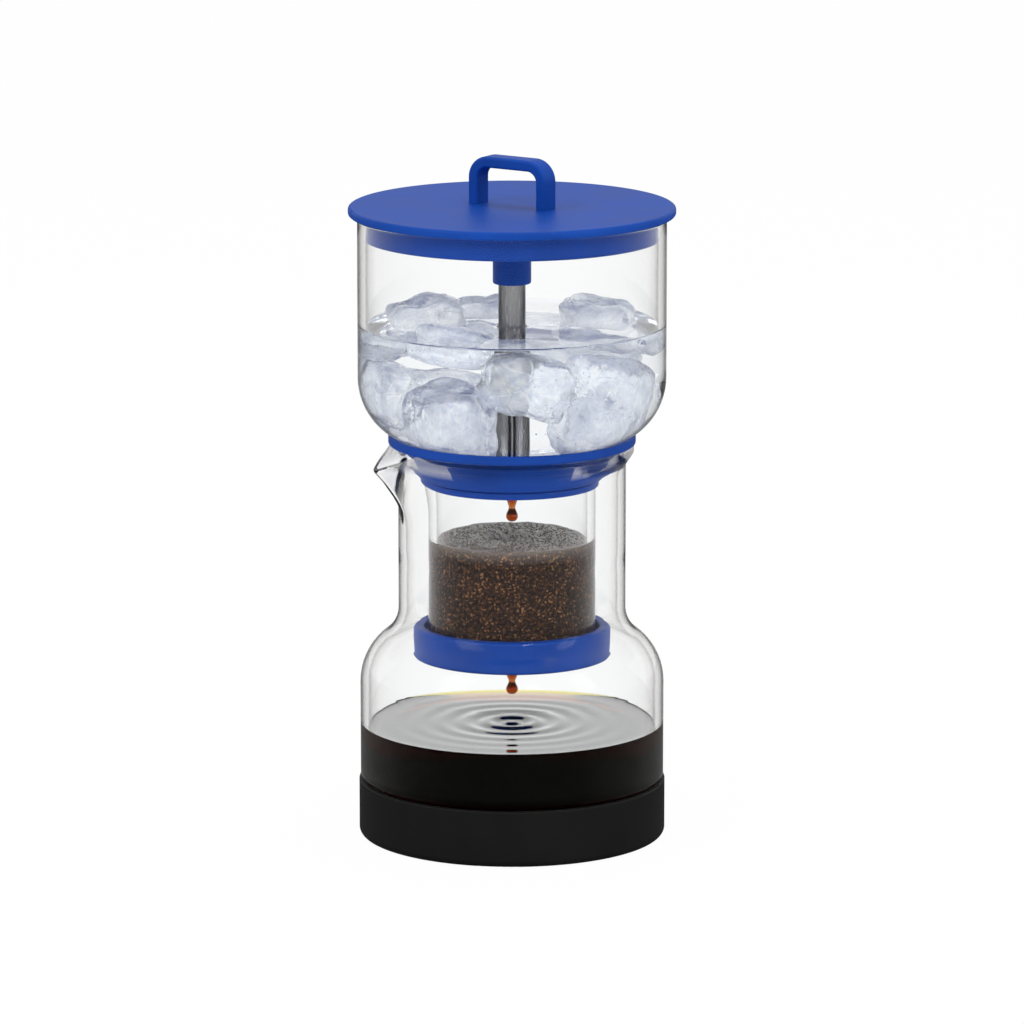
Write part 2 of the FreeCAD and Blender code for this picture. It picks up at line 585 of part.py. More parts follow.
def make_carafe_glass():
    body = turned("carafe_whole", (
        ("0", "boot_floor", None),
        ("foot_r", "boot_floor", "foot_round"),
        ("foot_r", "step_low_z", None),
        ("carafe_outer_r", "step_top_z", None),
        ("carafe_outer_r", "shoulder_corner_z", "shoulder_round"),
        ("neck_outer_r", "neck_corner_z", "neck_round"),
        ("neck_outer_r", "rim_top_z - rim_flare_tall", "carafe_wall"),
        ("rim_outer_r", "rim_top_z - rim_land_tall", None),
        ("rim_outer_r", "rim_top_z", "rim_round"),
        ("0", "rim_top_z", None),
    ))
    spout_loft(body, "spout_outside", "PartDesign::AdditiveLoft", "")
    turn_profile(body, "carafe_inside", (
        ("0", "carafe_floor_z", None),
        ("foot_inner_r", "carafe_floor_z", "foot_inner_round"),
        ("foot_inner_r", "step_low_z", None),
        ("carafe_inner_r", "step_top_z", None),
        ("carafe_inner_r", "shoulder_corner_z - inner_drop", "shoulder_round - carafe_wall"),
        ("neck_inner_r", "neck_corner_z - inner_drop", "neck_round + carafe_wall"),
        ("neck_inner_r", "rim_top_z - rim_mouth_tall", "rim_mouth_round"),
        ("rim_inner_r", "rim_top_z", None),
        ("rim_inner_r", "rim_top_z + spout_over + loose", None),
        ("0", "rim_top_z + spout_over + loose", None),
    ), "PartDesign::Groove")
    spout_loft(body, "spout_inside", "PartDesign::SubtractiveLoft", " - spout_wall")
    above = new_sketch(body, "rim_trim", "XY_Plane", "rim_top_z")
    draw_circle(above, book.named("spout_reach + spout_reach", "rim_trim_r"))
    cut_pocket(body, above, "rim_trim_cut", book.named("spout_over + spout_over", "trim_deep"), True)
    dip = new_sketch(body, "spout_dip", "XZ_Plane")
    turn = FreeCAD.Rotation(FreeCAD.Vector(0, 1, 0), book.value("spout_turn"))
    dip.AttachmentOffset = FreeCAD.Placement(FreeCAD.Vector(0, 0, 0), turn)
    bind(dip, ".AttachmentOffset.Rotation.Angle", "spout_turn")
    fall = "(rim_top_z - spout_tip_z) / (spout_reach - spout_root)"
    draw_outline(dip, "spout_dip", (
        ("spout_root", "rim_top_z", None),
        ("spout_root", "rim_top_z + spout_over", None),
        ("spout_reach + spout_over", "rim_top_z + spout_over", None),
        ("spout_reach + spout_over", "spout_tip_z - spout_over * " + fall, None),
    ), -1)
    cut_pocket(body, dip, "spout_dip_cut", "spout_cut_wide", centred=True)
    return body


def make_carafe_bowl_and_neck():
    """The carafe's glass in two pieces: the bowl, and the neck with rim and spout."""
    glass = make_carafe_glass()
    room = doc.addObject("Part::Cylinder", "carafe_neck_room")
    bind(room, "Radius", "rim_trim_r")
    bind(room, "Height", book.named("rim_top_z + spout_over - neck_low_z", "neck_room_tall"))
    bind(room, ".Placement.Base.z", "neck_low_z")
    halves = []
    for kind, name in (("Part::Cut", "carafe_bowl"), ("Part::Common", "carafe_neck")):
        half = doc.addObject(kind, name)
        half.Base = glass
        half.Tool = room
        halves.append(half)
    return halves


def make_brewed_coffee():
    return turned("brewed_coffee", (
        ("0", "carafe_floor_z + snug", None),
        ("foot_inner_r - snug", "carafe_floor_z + snug", "foot_inner_round"),
        ("foot_inner_r - snug", "step_low_z", None),
        ("carafe_inner_r - snug", "step_top_z", None),
        ("carafe_inner_r - snug", "coffee_top_z", None),
        ("0", "coffee_top_z", None),
    ))


def make_collar_seal():
    return turned("collar_seal", (
        ("cup_bore_r", "seal_ring_low_z", None),
        ("seal_ring_r", "seal_ring_low_z", "seal_edge"),
        ("seal_ring_r", "seal_ring_top_z", None),
        ("seal_ring_r - seal_notch", "seal_ring_top_z", None),
        ("seal_ring_r - seal_notch", "seal_taper_low_z", None),
        ("seal_taper_low_r", "seal_taper_low_z", "seal_notch"),
        ("seal_taper_top_r", "seal_fin_z", None),
        ("seal_fin_r", "seal_fin_z", "seal_notch"),
        ("seal_fin_r", "seal_fin_z + seal_fin_tall", None),
        ("rim_inner_r - seal_rim_gap", "rim_top_z", None),
        ("seal_lip_r", "rim_top_z", "seal_lip_round"),
        ("seal_lip_r", "seal_lip_z", "seal_lip_edge"),
        ("dish_corner_r", "seal_floor_z", "dish_round"),
        ("port_r", "seal_floor_z", None),
        ("port_r", "gasket_top_z", None),
        ("cup_bore_r", "gasket_top_z", None),
    ))


def make_ring(name, inner, outer, low, high, rounding=None):
    """A plain ring of rectangular section."""
    return turned(name, (
        (inner, low, rounding),
        (outer, low, rounding),
        (outer, high, rounding),
        (inner, high, rounding),
    ))


def make_filter_cup():
    body = turned("filter_cup", (
        ("nozzle_bore_r", "cup_nozzle_z", None),
        ("nozzle_tip_r", "cup_nozzle_z", "nozzle_tip_round"),
        ("cup_nozzle_r", "cup_low_z", None),
        ("cup_outer_r", "cup_low_z", "cup_edge"),
        ("cup_outer_r", "cup_top_z", "cup_edge"),
        ("cup_mouth_r", "cup_top_z", "cup_mouth_edge"),
        ("cup_mouth_r", "cup_top_z - cup_mouth_deep", None),
        ("cup_bore_r", "cup_top_z - cup_mouth_deep", None),
        ("cup_bore_r", "mesh_frame_low_z", None),
        ("ledge_r", "mesh_frame_low_z", None),
        ("ledge_r", "cup_floor_z", None),
        ("nozzle_bore_r", "cup_floor_z", None),
    ))
    sketch = new_sketch(body, "mesh_rib", "XZ_Plane")
    draw_outline(sketch, "mesh_rib", (
        ("rib_root_r", "cup_floor_z - snug", None),
        ("ledge_r + snug", "cup_floor_z - snug", None),
        ("ledge_r + snug", "mesh_frame_low_z", None),
        ("rib_root_r", "mesh_frame_low_z", None),
    ))
    rib = body.newObject("PartDesign::Pad", "mesh_rib_pad")
    rib.Profile = sketch
    rib.Midplane = True
    rib.Length = book.value("rib_wide")
    bind(rib, "Length", "rib_wide")
    repeat_round(body, rib, "mesh_ribs", "rib_count")
    return body


def make_filter_mesh():
    body = turned("filter_mesh", (
        ("0", "mesh_frame_low_z", None),
        ("mesh_r", "mesh_frame_low_z", None),
        ("mesh_r", "mesh_frame_low_z + mesh_thick", None),
        ("0", "mesh_frame_low_z + mesh_thick", None),
    ))
    sketch = new_sketch(body, "mesh_holes", "XY_Plane")
    for number in range(int(book.value("mesh_rows"))):
        place = "mesh_hole_step * (mesh_first_row + %d)" % number
        across = book.named(place, "mesh_hole_%d_across" % number)
        draw_circle(sketch, "mesh_hole_r", across, "no_gap")
    holes = cut_pocket(body, sketch, "mesh_holes_cut", None)
    repeat_round(body, holes, "mesh_all_holes", "mesh_spokes")
    return body


def make_drop(name, top):
    """A drop that hangs from a nozzle's tip: a bulb under a short neck."""
    low = "%s - drop_long" % top
    return turned(name, (
        ("0", low, None),
        ("drop_r", low, "drop_low_round"),
        ("drop_r", low + " + drop_bulb_tall", "drop_high_round"),
        ("drop_tail_r", low + " + drop_tail_up", "drop_tail_round"),
        ("nozzle_tip_r - snug", top, None),
        ("0", top, None),
    ))


def make_tank_glass():
    return turned("tank_glass", (
        ("tank_hole_r", "tank_low_z", None),
        ("tank_outer_r", "tank_low_z", "tank_corner"),
        ("tank_outer_r", "tank_top_z", "rim_round"),
        ("tank_inner_r", "tank_top_z", "rim_round"),
        ("tank_inner_r", "tank_floor_z", "tank_corner - tank_wall"),
        ("tank_hole_r", "tank_floor_z", None),
    ))


def make_tank_grommet():
    return turned("tank_grommet", (
        ("body_shank_r + snug", "nut_top_z", None),
        ("grommet_flange_r", "nut_top_z", None),
        ("grommet_flange_r", "tank_low_z", None),
        ("tank_hole_r - snug", "tank_low_z", None),
        ("tank_hole_r - snug", "tank_floor_z", None),
        ("grommet_flange_r", "tank_floor_z", None),
        ("grommet_flange_r", "body_head_z", "grommet_edge"),
        ("body_shank_r + snug", "body_head_z", None),
    ))


def make_valve_body():
    return turned("valve_body", (
        ("body_outlet_r", "body_low_z", None),
        ("body_shank_r", "body_low_z", None),
        ("body_shank_r", "body_head_z", None),
        ("body_head_r", "body_head_z", None),
        ("body_head_r", "body_head_top_z", None),
        ("stem_bore_r - running", "body_head_top_z", None),
        ("stem_bore_r - running", "spigot_top_z", None),
        ("body_bore_r", "spigot_top_z", None),
        ("body_bore_r", "seat_low_z", None),
        ("body_outlet_r", "seat_low_z", None),
    ))


def make_lock_nut():
    prism = doc.addObject("Part::Prism", "lock_nut_hexagon")
    prism.Polygon = 6
    bind(prism, "Circumradius", book.named("nut_across / sqrt(3)", "nut_corner_r"))
    bind(prism, "Height", "nut_tall")
    hole = doc.addObject("Part::Cylinder", "lock_nut_bore")
    bind(hole, "Radius", book.named("body_shank_r + snug", "nut_bore_r"))
    bind(hole, "Height", "nut_tall")
    for item in (prism, hole):
        bind(item, ".Placement.Base.z", book.named("nut_top_z - nut_tall", "nut_low_z"))
    nut = doc.addObject("Part::Cut", "lock_nut")
    nut.Base = prism
    nut.Tool = hole
    return nut


def make_drip_nozzle():
    return turned("drip_nozzle", (
        ("nozzle_bore_r", "nozzle_tip_z", None),
        ("nozzle_tip_r", "nozzle_tip_z", "nozzle_tip_round"),
        ("nozzle_outer_r", "nozzle_waist_z", None),
        ("nozzle_outer_r", "body_low_z + nozzle_skirt", None),
        ("body_shank_r + snug", "body_low_z + nozzle_skirt", None),
        ("body_shank_r + snug", "body_low_z - washer_thick", None),
        ("nozzle_bore_r", "body_low_z - washer_thick", None),
    ))


def ice_placement(number, grow):
    """Where an ice block lies, turned about its own middle and grown by a clearance."""
    middle, edges, turns = ICE_BLOCKS[number]
    room = book.value("tank_inner_r")
    half = FreeCAD.Vector(*edges) * room / 2 + FreeCAD.Vector(grow, grow, grow)
    turn = FreeCAD.Rotation(turns[2], turns[1], turns[0])
    place = FreeCAD.Vector(*middle) * room + FreeCAD.Vector(0, 0, book.value("tank_floor_z"))
    return FreeCAD.Placement(place, turn).multiply(
        FreeCAD.Placement(half * -1, FreeCAD.Rotation())
    )


def ice_box(name, number, grow_alias):
    box = doc.addObject("Part::Box", name)
    for edge, side in zip(ICE_BLOCKS[number][1], ("Length", "Width", "Height")):
        box.setExpression(side, "sizes.tank_inner_r * %s + 2 * sizes.%s" % (edge, grow_alias))
    box.Placement = ice_placement(number, book.value(grow_alias))
    return box


def make_ice_cubes():
    """All ice blocks as one piece of separate solids, their corners melted off."""
    blocks = []
    for number in range(len(ICE_BLOCKS)):
        box = ice_box("ice_block_%d" % number, number, "no_gap")
        melted = doc.addObject("Part::Chamfer", "ice_melted_%d" % number)
        melted.Base = box
        bevel = book.value("ice_chamfer")
        melted.Edges = [(edge, bevel, bevel) for edge in range(1, BOX_EDGES + 1)]
        blocks.append(melted)
    group = doc.addObject("Part::Compound", "ice_cubes")
    group.Links = blocks
    return group


def make_water():
    """The water, with the room that valve, stem and ice take cut out of it."""
    full = turned("water_full", (
        ("grommet_flange_r + snug", "tank_floor_z + snug", None),
        ("tank_inner_r - snug", "tank_floor_z + snug", "tank_corner - tank_wall - snug"),
        ("tank_inner_r - snug", "water_top_z", None),
        ("stem_outer_r + loose", "water_top_z", None),
        ("stem_outer_r + loose", "body_head_top_z + snug", None),
        ("body_head_r + snug", "body_head_top_z + snug", None),
        ("body_head_r + snug", "body_head_z + snug", None),
        ("grommet_flange_r + snug", "body_head_z + snug", None),
    ))
    room = doc.addObject("Part::MultiFuse", "ice_room")
    room.Shapes = [ice_box("ice_room_%d" % n, n, "snug") for n in range(len(ICE_BLOCKS))]
    water = doc.addObject("Part::Cut", "water")
    water.Base = full
    water.Tool = room
    return water


def make_stem_tube():
    body = make_ring("stem_tube", "stem_bore_r", "stem_outer_r", "stem_low_z", "stem_top_z")
    slot = new_sketch(body, "inlet", "XZ_Plane")
    draw_outline(slot, "inlet", (
        ("stem_bore_r - stem_wall", "stem_low_z + slot_lift", None),
        ("stem_outer_r + stem_wall", "stem_low_z + slot_lift", None),
        ("stem_outer_r + stem_wall", "stem_low_z + slot_lift + slot_tall", None),
        ("stem_bore_r - stem_wall", "stem_low_z + slot_lift + slot_tall", None),
    ))
    cut = cut_pocket(body, slot, "inlet_cut", "slot_wide", centred=True)
    repeat_round(body, cut, "inlets", "slot_count")
    flat = new_sketch(body, "drive_flat", "XZ_Plane")
    draw_outline(flat, "drive_flat", (
        ("stem_flat", "flat_low_z", None),
        ("stem_outer_r + stem_wall", "flat_low_z", None),
        ("stem_outer_r + stem_wall", "stem_top_z + stem_wall", None),
        ("stem_flat", "stem_top_z + stem_wall", None),
    ))
    shave = cut_pocket(body, flat, "drive_flat_cut", "boss_outer_r", centred=True)
    repeat_round(body, shave, "drive_flats", "flat_count")
    return body


def make_valve_needle():
    return turned("valve_needle", (
        ("0", "needle_low_z", None),
        ("needle_tip_r", "needle_low_z", None),
        ("needle_r", "needle_low_z + needle_tip_tall", None),
        ("needle_r", "needle_top_z", "needle_tip_r"),
        ("0", "needle_top_z", None),
    ))


def make_lid_disc():
    body = turned("lid_disc", (
        ("0", "lid_low_z", None),
        ("lid_outer_r", "lid_low_z", "lid_edge"),
        ("lid_outer_r", "lid_top_z", "lid_edge"),
        ("0", "lid_top_z", None),
    ))
    peg = new_sketch(body, "peg_hole", "XY_Plane", "lid_low_z")
    draw_circle(peg, book.named("boss_peg_r + snug", "peg_hole_r"))
    cut_pocket(body, peg, "peg_hole_cut", book.named("boss_peg + snug", "peg_hole_deep"), True)
    hole = new_sketch(body, "screw_hole", "XY_Plane", "lid_low_z")
    radius = book.named("boss_screw_r + snug", "screw_hole_r")
    draw_circle(hole, radius, "leg_offset", "no_gap")
    first = cut_pocket(body, hole, "screw_hole_cut", "handle_tall", True)
    repeat_round(body, first, "screw_holes", "flat_count")
    turn_about_z(body, "handle_turn", True)
    return body


def make_drive_boss():
    body = turned("drive_boss", (
        ("0", "boss_low_z", None),
        ("boss_outer_r", "boss_low_z", "boss_round"),
        ("boss_outer_r", "lid_low_z - boss_collar", None),
        ("boss_collar_r", "lid_low_z - boss_collar", "boss_round"),
        ("boss_collar_r", "lid_low_z", None),
        ("boss_peg_r", "lid_low_z", None),
        ("boss_peg_r", "lid_low_z + boss_peg", None),
        ("0", "lid_low_z + boss_peg", None),
    ))
    turn_profile(body, "boss_socket", (
        ("0", "boss_low_z - loose", None),
        ("stem_outer_r + running", "boss_low_z - loose", None),
        ("stem_outer_r + running", "flat_low_z + loose", None),
        ("stem_flat + running", "flat_low_z + loose", None),
        ("stem_flat + running", "socket_top_z", None),
        ("0", "socket_top_z", None),
    ), "PartDesign::Groove")
    slot = new_sketch(body, "drive_slot", "XZ_Plane")
    draw_outline(slot, "drive_slot", (
        ("0", "flat_low_z", None),
        ("stem_flat + running", "flat_low_z", None),
        ("stem_flat + running", "socket_top_z", None),
        ("0", "socket_top_z", None),
    ))
    wide = book.named("2 * (stem_outer_r + running)", "drive_slot_wide")
    cut = cut_pocket(body, slot, "drive_slot_cut", wide, centred=True)
    repeat_round(body, cut, "drive_slots", "flat_count")
    return body


def long_edges(shape, least):
    """Names of the outline's edges along the strap: those that lie in its two sides."""
    names = []
    for number, edge in enumerate(shape.Edges, 1):
        along_y = abs(edge.BoundBox.YLength) > least
        on_foot = edge.BoundBox.ZMax < book.value("lid_top_z") + least
        if not along_y and not on_foot:
            names.append("Edge%d" % number)
    return names


def make_handle():
    """A strap bent to a U, standing on the lid, with a screw hole up each leg."""
    body = new_body("handle")
    profile = new_sketch(body, "strap_profile", "XZ_Plane")
    half = "handle_span / 2"
    top = "lid_top_z + handle_tall"
    inner = "handle_span / 2 - handle_thick"
    bend = "handle_bend - handle_thick"
    draw_outline(profile, "strap", (
        (inner, "lid_top_z", None, 1),
        (half, "lid_top_z", None, 1),
        (half, top, "handle_bend", 1),
        (half, top, "handle_bend", -1),
        (half, "lid_top_z", None, -1),
        (inner, "lid_top_z", None, -1),
        (inner, top + " - handle_thick", bend, -1),
        (inner, top + " - handle_thick", bend, 1),
    ))
    strap = body.newObject("PartDesign::Pad", "strap")
    strap.Profile = profile
    strap.Midplane = True
    strap.Length = book.value("handle_wide")
    bind(strap, "Length", "handle_wide")
    doc.recompute()
    edge = body.newObject("PartDesign::Fillet", "strap_edges")
    edge.Base = (strap, long_edges(strap.Shape, book.value("snug")))
    edge.Radius = book.value("handle_edge")
    bind(edge, "Radius", "handle_edge")
    hole = new_sketch(body, "leg_hole", "XY_Plane", "lid_top_z")
    draw_circle(hole, "screw_hole_r", "leg_offset", "no_gap")
    deep = book.named("screw_grip + loose", "leg_hole_deep")
    first = cut_pocket(body, hole, "leg_hole_cut", deep, True)
    repeat_round(body, first, "leg_holes", "flat_count")
    turn_about_z(body, "handle_turn", True)
    return body


def make_handle_screws():
    """Two screws from under the lid into the handle's legs."""
    screws = []
    for number, way in enumerate((1, -1)):
        shank = doc.addObject("Part::Cylinder", "screw_shank_%d" % number)
        bind(shank, "Radius", "boss_screw_r")
        bind(shank, "Height", book.named("lid_thick + screw_grip", "screw_shank_tall"))
        bind(shank, ".Placement.Base.z", "lid_low_z")
        head = doc.addObject("Part::Cylinder", "screw_head_%d" % number)
        bind(head, "Radius", "screw_head_r")
        bind(head, "Height", "screw_head")
        bind(head, ".Placement.Base.z", book.named("lid_low_z - screw_head", "screw_head_z"))
        for item in (shank, head):
            item.setExpression(".Placement.Base.x", "%d * sizes.leg_offset" % way)
        screw = doc.addObject("Part::Fuse", "handle_screw_%d" % number)
        screw.Base = shank
        screw.Tool = head
        screws.append(screw)
    group = doc.addObject("Part::Compound", "handle_screws")
    group.Links = screws
    turn_about_z(group, "handle_turn", True)
    return group


def make_parts():
    """Every piece of the maker, from the boot up to the handle."""
    return [
        make_base_boot(),
        *make_carafe_bowl_and_neck(),
        make_brewed_coffee(),
        make_collar_seal(),
        make_ring(
            "chamber_glass", "chamber_inner_r", "chamber_outer_r",
            "chamber_low_z", "chamber_top_z", "chamber_edge",
        ),
        make_ring(
            "chamber_gasket", "chamber_inner_r", "chamber_outer_r",
            "chamber_top_z", "gasket_top_z",
        ),
        turned("coffee_grounds", (
            ("0", "chamber_low_z", None),
            ("chamber_inner_r - snug", "chamber_low_z", None),
            ("chamber_inner_r - snug", "grounds_top_z", None),
            ("0", "grounds_top_z", None),
        )),
        make_filter_cup(),
        make_ring(
            "mesh_frame", "mesh_frame_bore_r", "chamber_outer_r",
            "mesh_frame_low_z", "mesh_frame_top_z",
        ),
        make_filter_mesh(),
        make_drop("filter_drop", "cup_nozzle_z"),
        make_tank_glass(),
        make_tank_grommet(),
        make_valve_body(),
        make_ring(
            "valve_seat", "seat_hole_r", "body_bore_r - running",
            "seat_low_z", "seat_top_z",
        ),
        make_lock_nut(),
        make_drip_nozzle(),
        make_ring(
            "nozzle_washer", "body_outlet_r", "body_shank_r",
            "body_low_z - washer_thick", "body_low_z",
        ),
        make_drop("valve_drop", "nozzle_tip_z"),
        make_water(),
        make_ice_cubes(),
        make_stem_tube(),
        make_ring(
            "thread_bush", "needle_r + running", "stem_bore_r - running",
            "thread_nut_z", "thread_nut_z + thread_nut_tall",
        ),
        make_valve_needle(),
        make_ring(
            "lid_ring", "plug_outer_r - plug_wall", "plug_outer_r",
            "lid_low_z - plug_tall", "lid_low_z - snug", "plug_edge",
        ),
        make_lid_disc(),
        make_drive_boss(),
        make_handle(),
        make_handle_screws(),
    ]


def check_document():
    """Stop if any object of the document failed."""
    for item in doc.Objects:
        if "Invalid" in item.State or "Error" in item.State:
            raise RuntimeError("%s failed: %s" % (item.Label, item.State))


def write_parts(parts):
    """Check each piece's solid and write it to its own STEP file."""
    for part in parts:
        if part.Shape.isNull() or not part.Shape.isValid():
            raise RuntimeError("%s has no valid shape" % part.Label)
    os.makedirs("parts", exist_ok=True)
    for part in parts:
        part.Shape.exportStep(os.path.join("parts", part.Label + ".step"))
        box = part.Shape.BoundBox
        print("%-16s solids %2d volume %10.1f z %7.2f to %7.2f" % (
            part.Label, len(part.Shape.Solids), part.Shape.Volume, box.ZMin, box.ZMax,
        ))


parts = make_parts()
doc.recompute()
check_document()
write_parts(parts)
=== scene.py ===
"""Cold brew coffee maker: finishes, glassware, contents, camera and light.

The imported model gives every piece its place. Sizes in the classes of pieces are
millimetres and become metres in the meshes; sizes in finishes are metres.
"""
import logging
import math
from dataclasses import dataclass
from enum import Enum

import bpy
from mathutils import Euler, Matrix, Vector, noise


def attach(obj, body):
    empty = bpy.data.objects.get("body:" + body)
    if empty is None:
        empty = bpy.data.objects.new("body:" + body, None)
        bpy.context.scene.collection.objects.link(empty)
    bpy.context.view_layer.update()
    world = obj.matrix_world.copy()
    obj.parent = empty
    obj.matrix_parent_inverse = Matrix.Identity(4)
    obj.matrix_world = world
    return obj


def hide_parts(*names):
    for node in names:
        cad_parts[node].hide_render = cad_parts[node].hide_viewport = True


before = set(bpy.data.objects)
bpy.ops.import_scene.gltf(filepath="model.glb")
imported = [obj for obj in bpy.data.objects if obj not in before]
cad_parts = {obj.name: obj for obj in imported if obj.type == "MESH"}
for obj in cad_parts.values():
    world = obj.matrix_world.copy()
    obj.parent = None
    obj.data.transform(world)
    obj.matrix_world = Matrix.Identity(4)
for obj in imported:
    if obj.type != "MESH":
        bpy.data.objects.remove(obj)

LOG = logging.getLogger("cold_brew_maker")
MM = 0.001

Corner = tuple[float, float, float]
Point = tuple[float, float]
Colour = tuple[float, float, float, float]

WHITE: Colour = (1.0, 1.0, 1.0, 1.0)


class Body(Enum):
    """The moving bodies that pieces ride on."""

    CARAFE = "carafe"
    BREW_UNIT = "brew_unit"
    FILTER_CUP = "filter_cup"
    TANK = "tank"


def srgb(red: float, green: float, blue: float) -> Colour:
    """Turn an 8-bit display colour into the linear colour that a shader takes.

    Args:
        red, green, blue: Channels from 0 to 255.

    Returns:
        Linear red, green and blue, with an alpha of 1.
    """
    def linear(channel: float) -> float:
        """Undo the display curve of one channel."""
        share = channel / 255
        return share / 12.92 if share <= 0.04045 else ((share + 0.055) / 1.055) ** 2.4

    return (linear(red), linear(green), linear(blue), 1.0)


def round_spot(radius: float, angle: float, up: float) -> Vector:
    """A place in metres at a radius, an angle and a height in millimetres."""
    return Vector((radius * math.cos(angle), radius * math.sin(angle), up)) * MM


def smoothstep(low: float, high: float, value: float) -> float:
    """Ease from 0 at low to 1 at high."""
    share = min(1.0, max(0.0, (value - low) / (high - low)))
    return share * share * (3 - 2 * share)


# Node trees


class Wire:
    """A node's output that takes part in sums as a number does."""

    def __init__(self, graph: "Graph", socket: bpy.types.NodeSocket) -> None:
        """Keep the socket and the graph that it belongs to."""
        self.graph = graph
        self.socket = socket

    def _sum(self, operation: str, first: object, second: object) -> "Wire":
        """Add a Math node for one operation on two values or wires."""
        return self.graph.node("ShaderNodeMath", {"operation": operation}, {0: first, 1: second})

    def __add__(self, other: object) -> "Wire":
        """This plus the other."""
        return self._sum("ADD", self, other)

    def __radd__(self, other: object) -> "Wire":
        """The other plus this."""
        return self._sum("ADD", other, self)

    def __sub__(self, other: object) -> "Wire":
        """This less the other."""
        return self._sum("SUBTRACT", self, other)

    def __rsub__(self, other: object) -> "Wire":
        """The other less this."""
        return self._sum("SUBTRACT", other, self)

    def __mul__(self, other: object) -> "Wire":
        """This times the other."""
        return self._sum("MULTIPLY", self, other)

    def __rmul__(self, other: object) -> "Wire":
        """The other times this."""
        return self._sum("MULTIPLY", other, self)

    def __truediv__(self, other: object) -> "Wire":
        """This over the other."""
        return self._sum("DIVIDE", self, other)

    def __pow__(self, other: object) -> "Wire":
        """This to the power of the other."""
        return self._sum("POWER", self, other)

    def at_least(self, other: object) -> "Wire":
        """The larger of this and the other."""
        return self._sum("MAXIMUM", self, other)

    def at_most(self, other: object) -> "Wire":
        """The smaller of this and the other."""
        return self._sum("MINIMUM", self, other)


class Graph:
    """A node tree that is written one node at a time."""

    def __init__(self, tree: bpy.types.NodeTree, family: str) -> None:
        """Keep the tree and the family that its node types belong to."""
        self.tree = tree
        self.family = family

    def node(self, kind: str, settings: dict | None = None,
             inputs: dict | None = None, output: int | str = 0) -> Wire:
        """Add a node, with its settings first, then its values and links.

        Args:
            kind: Node type, with its family or without, such as "TexNoise".
            settings: Attributes to set; "stops" holds a ramp's places and colours.
            inputs: Values or wires by input name or number.
            output: The output to hand back, by name or number.

        Returns:
            A wire from that output.
        """
        made = self.tree.nodes.new(kind if "Node" in kind else self.family + kind)
        for key, value in (settings or {}).items():
            if key == "stops":
                ramp = made.color_ramp.elements
                while len(ramp) < len(value):
                    ramp.new(1.0)
                for element, (place, colour) in zip(ramp, value):
                    element.position = place
                    element.color = colour
            else:
                setattr(made, key, value)
        for key, value in (inputs or {}).items():
            socket = made.inputs[key]
            if isinstance(value, Wire):
                self.tree.links.new(value.socket, socket)
            else:
                socket.default_value = value
        return Wire(self, made.outputs[output]) if made.outputs else Wire(self, None)

    def blend(self, factor: object, first: object, second: object) -> Wire:
        """Mix two colours, or wires of colours, by a factor."""
        return self.node("ShaderNodeMix", {"data_type": "RGBA"}, {0: factor, 6: first, 7: second}, 2)

    def multiply(self, first: object, second: object) -> Wire:
        """Multiply two colours, or wires of colours."""
        settings = {"data_type": "RGBA", "blend_type": "MULTIPLY"}
        return self.node("ShaderNodeMix", settings, {0: 1.0, 6: first, 7: second}, 2)


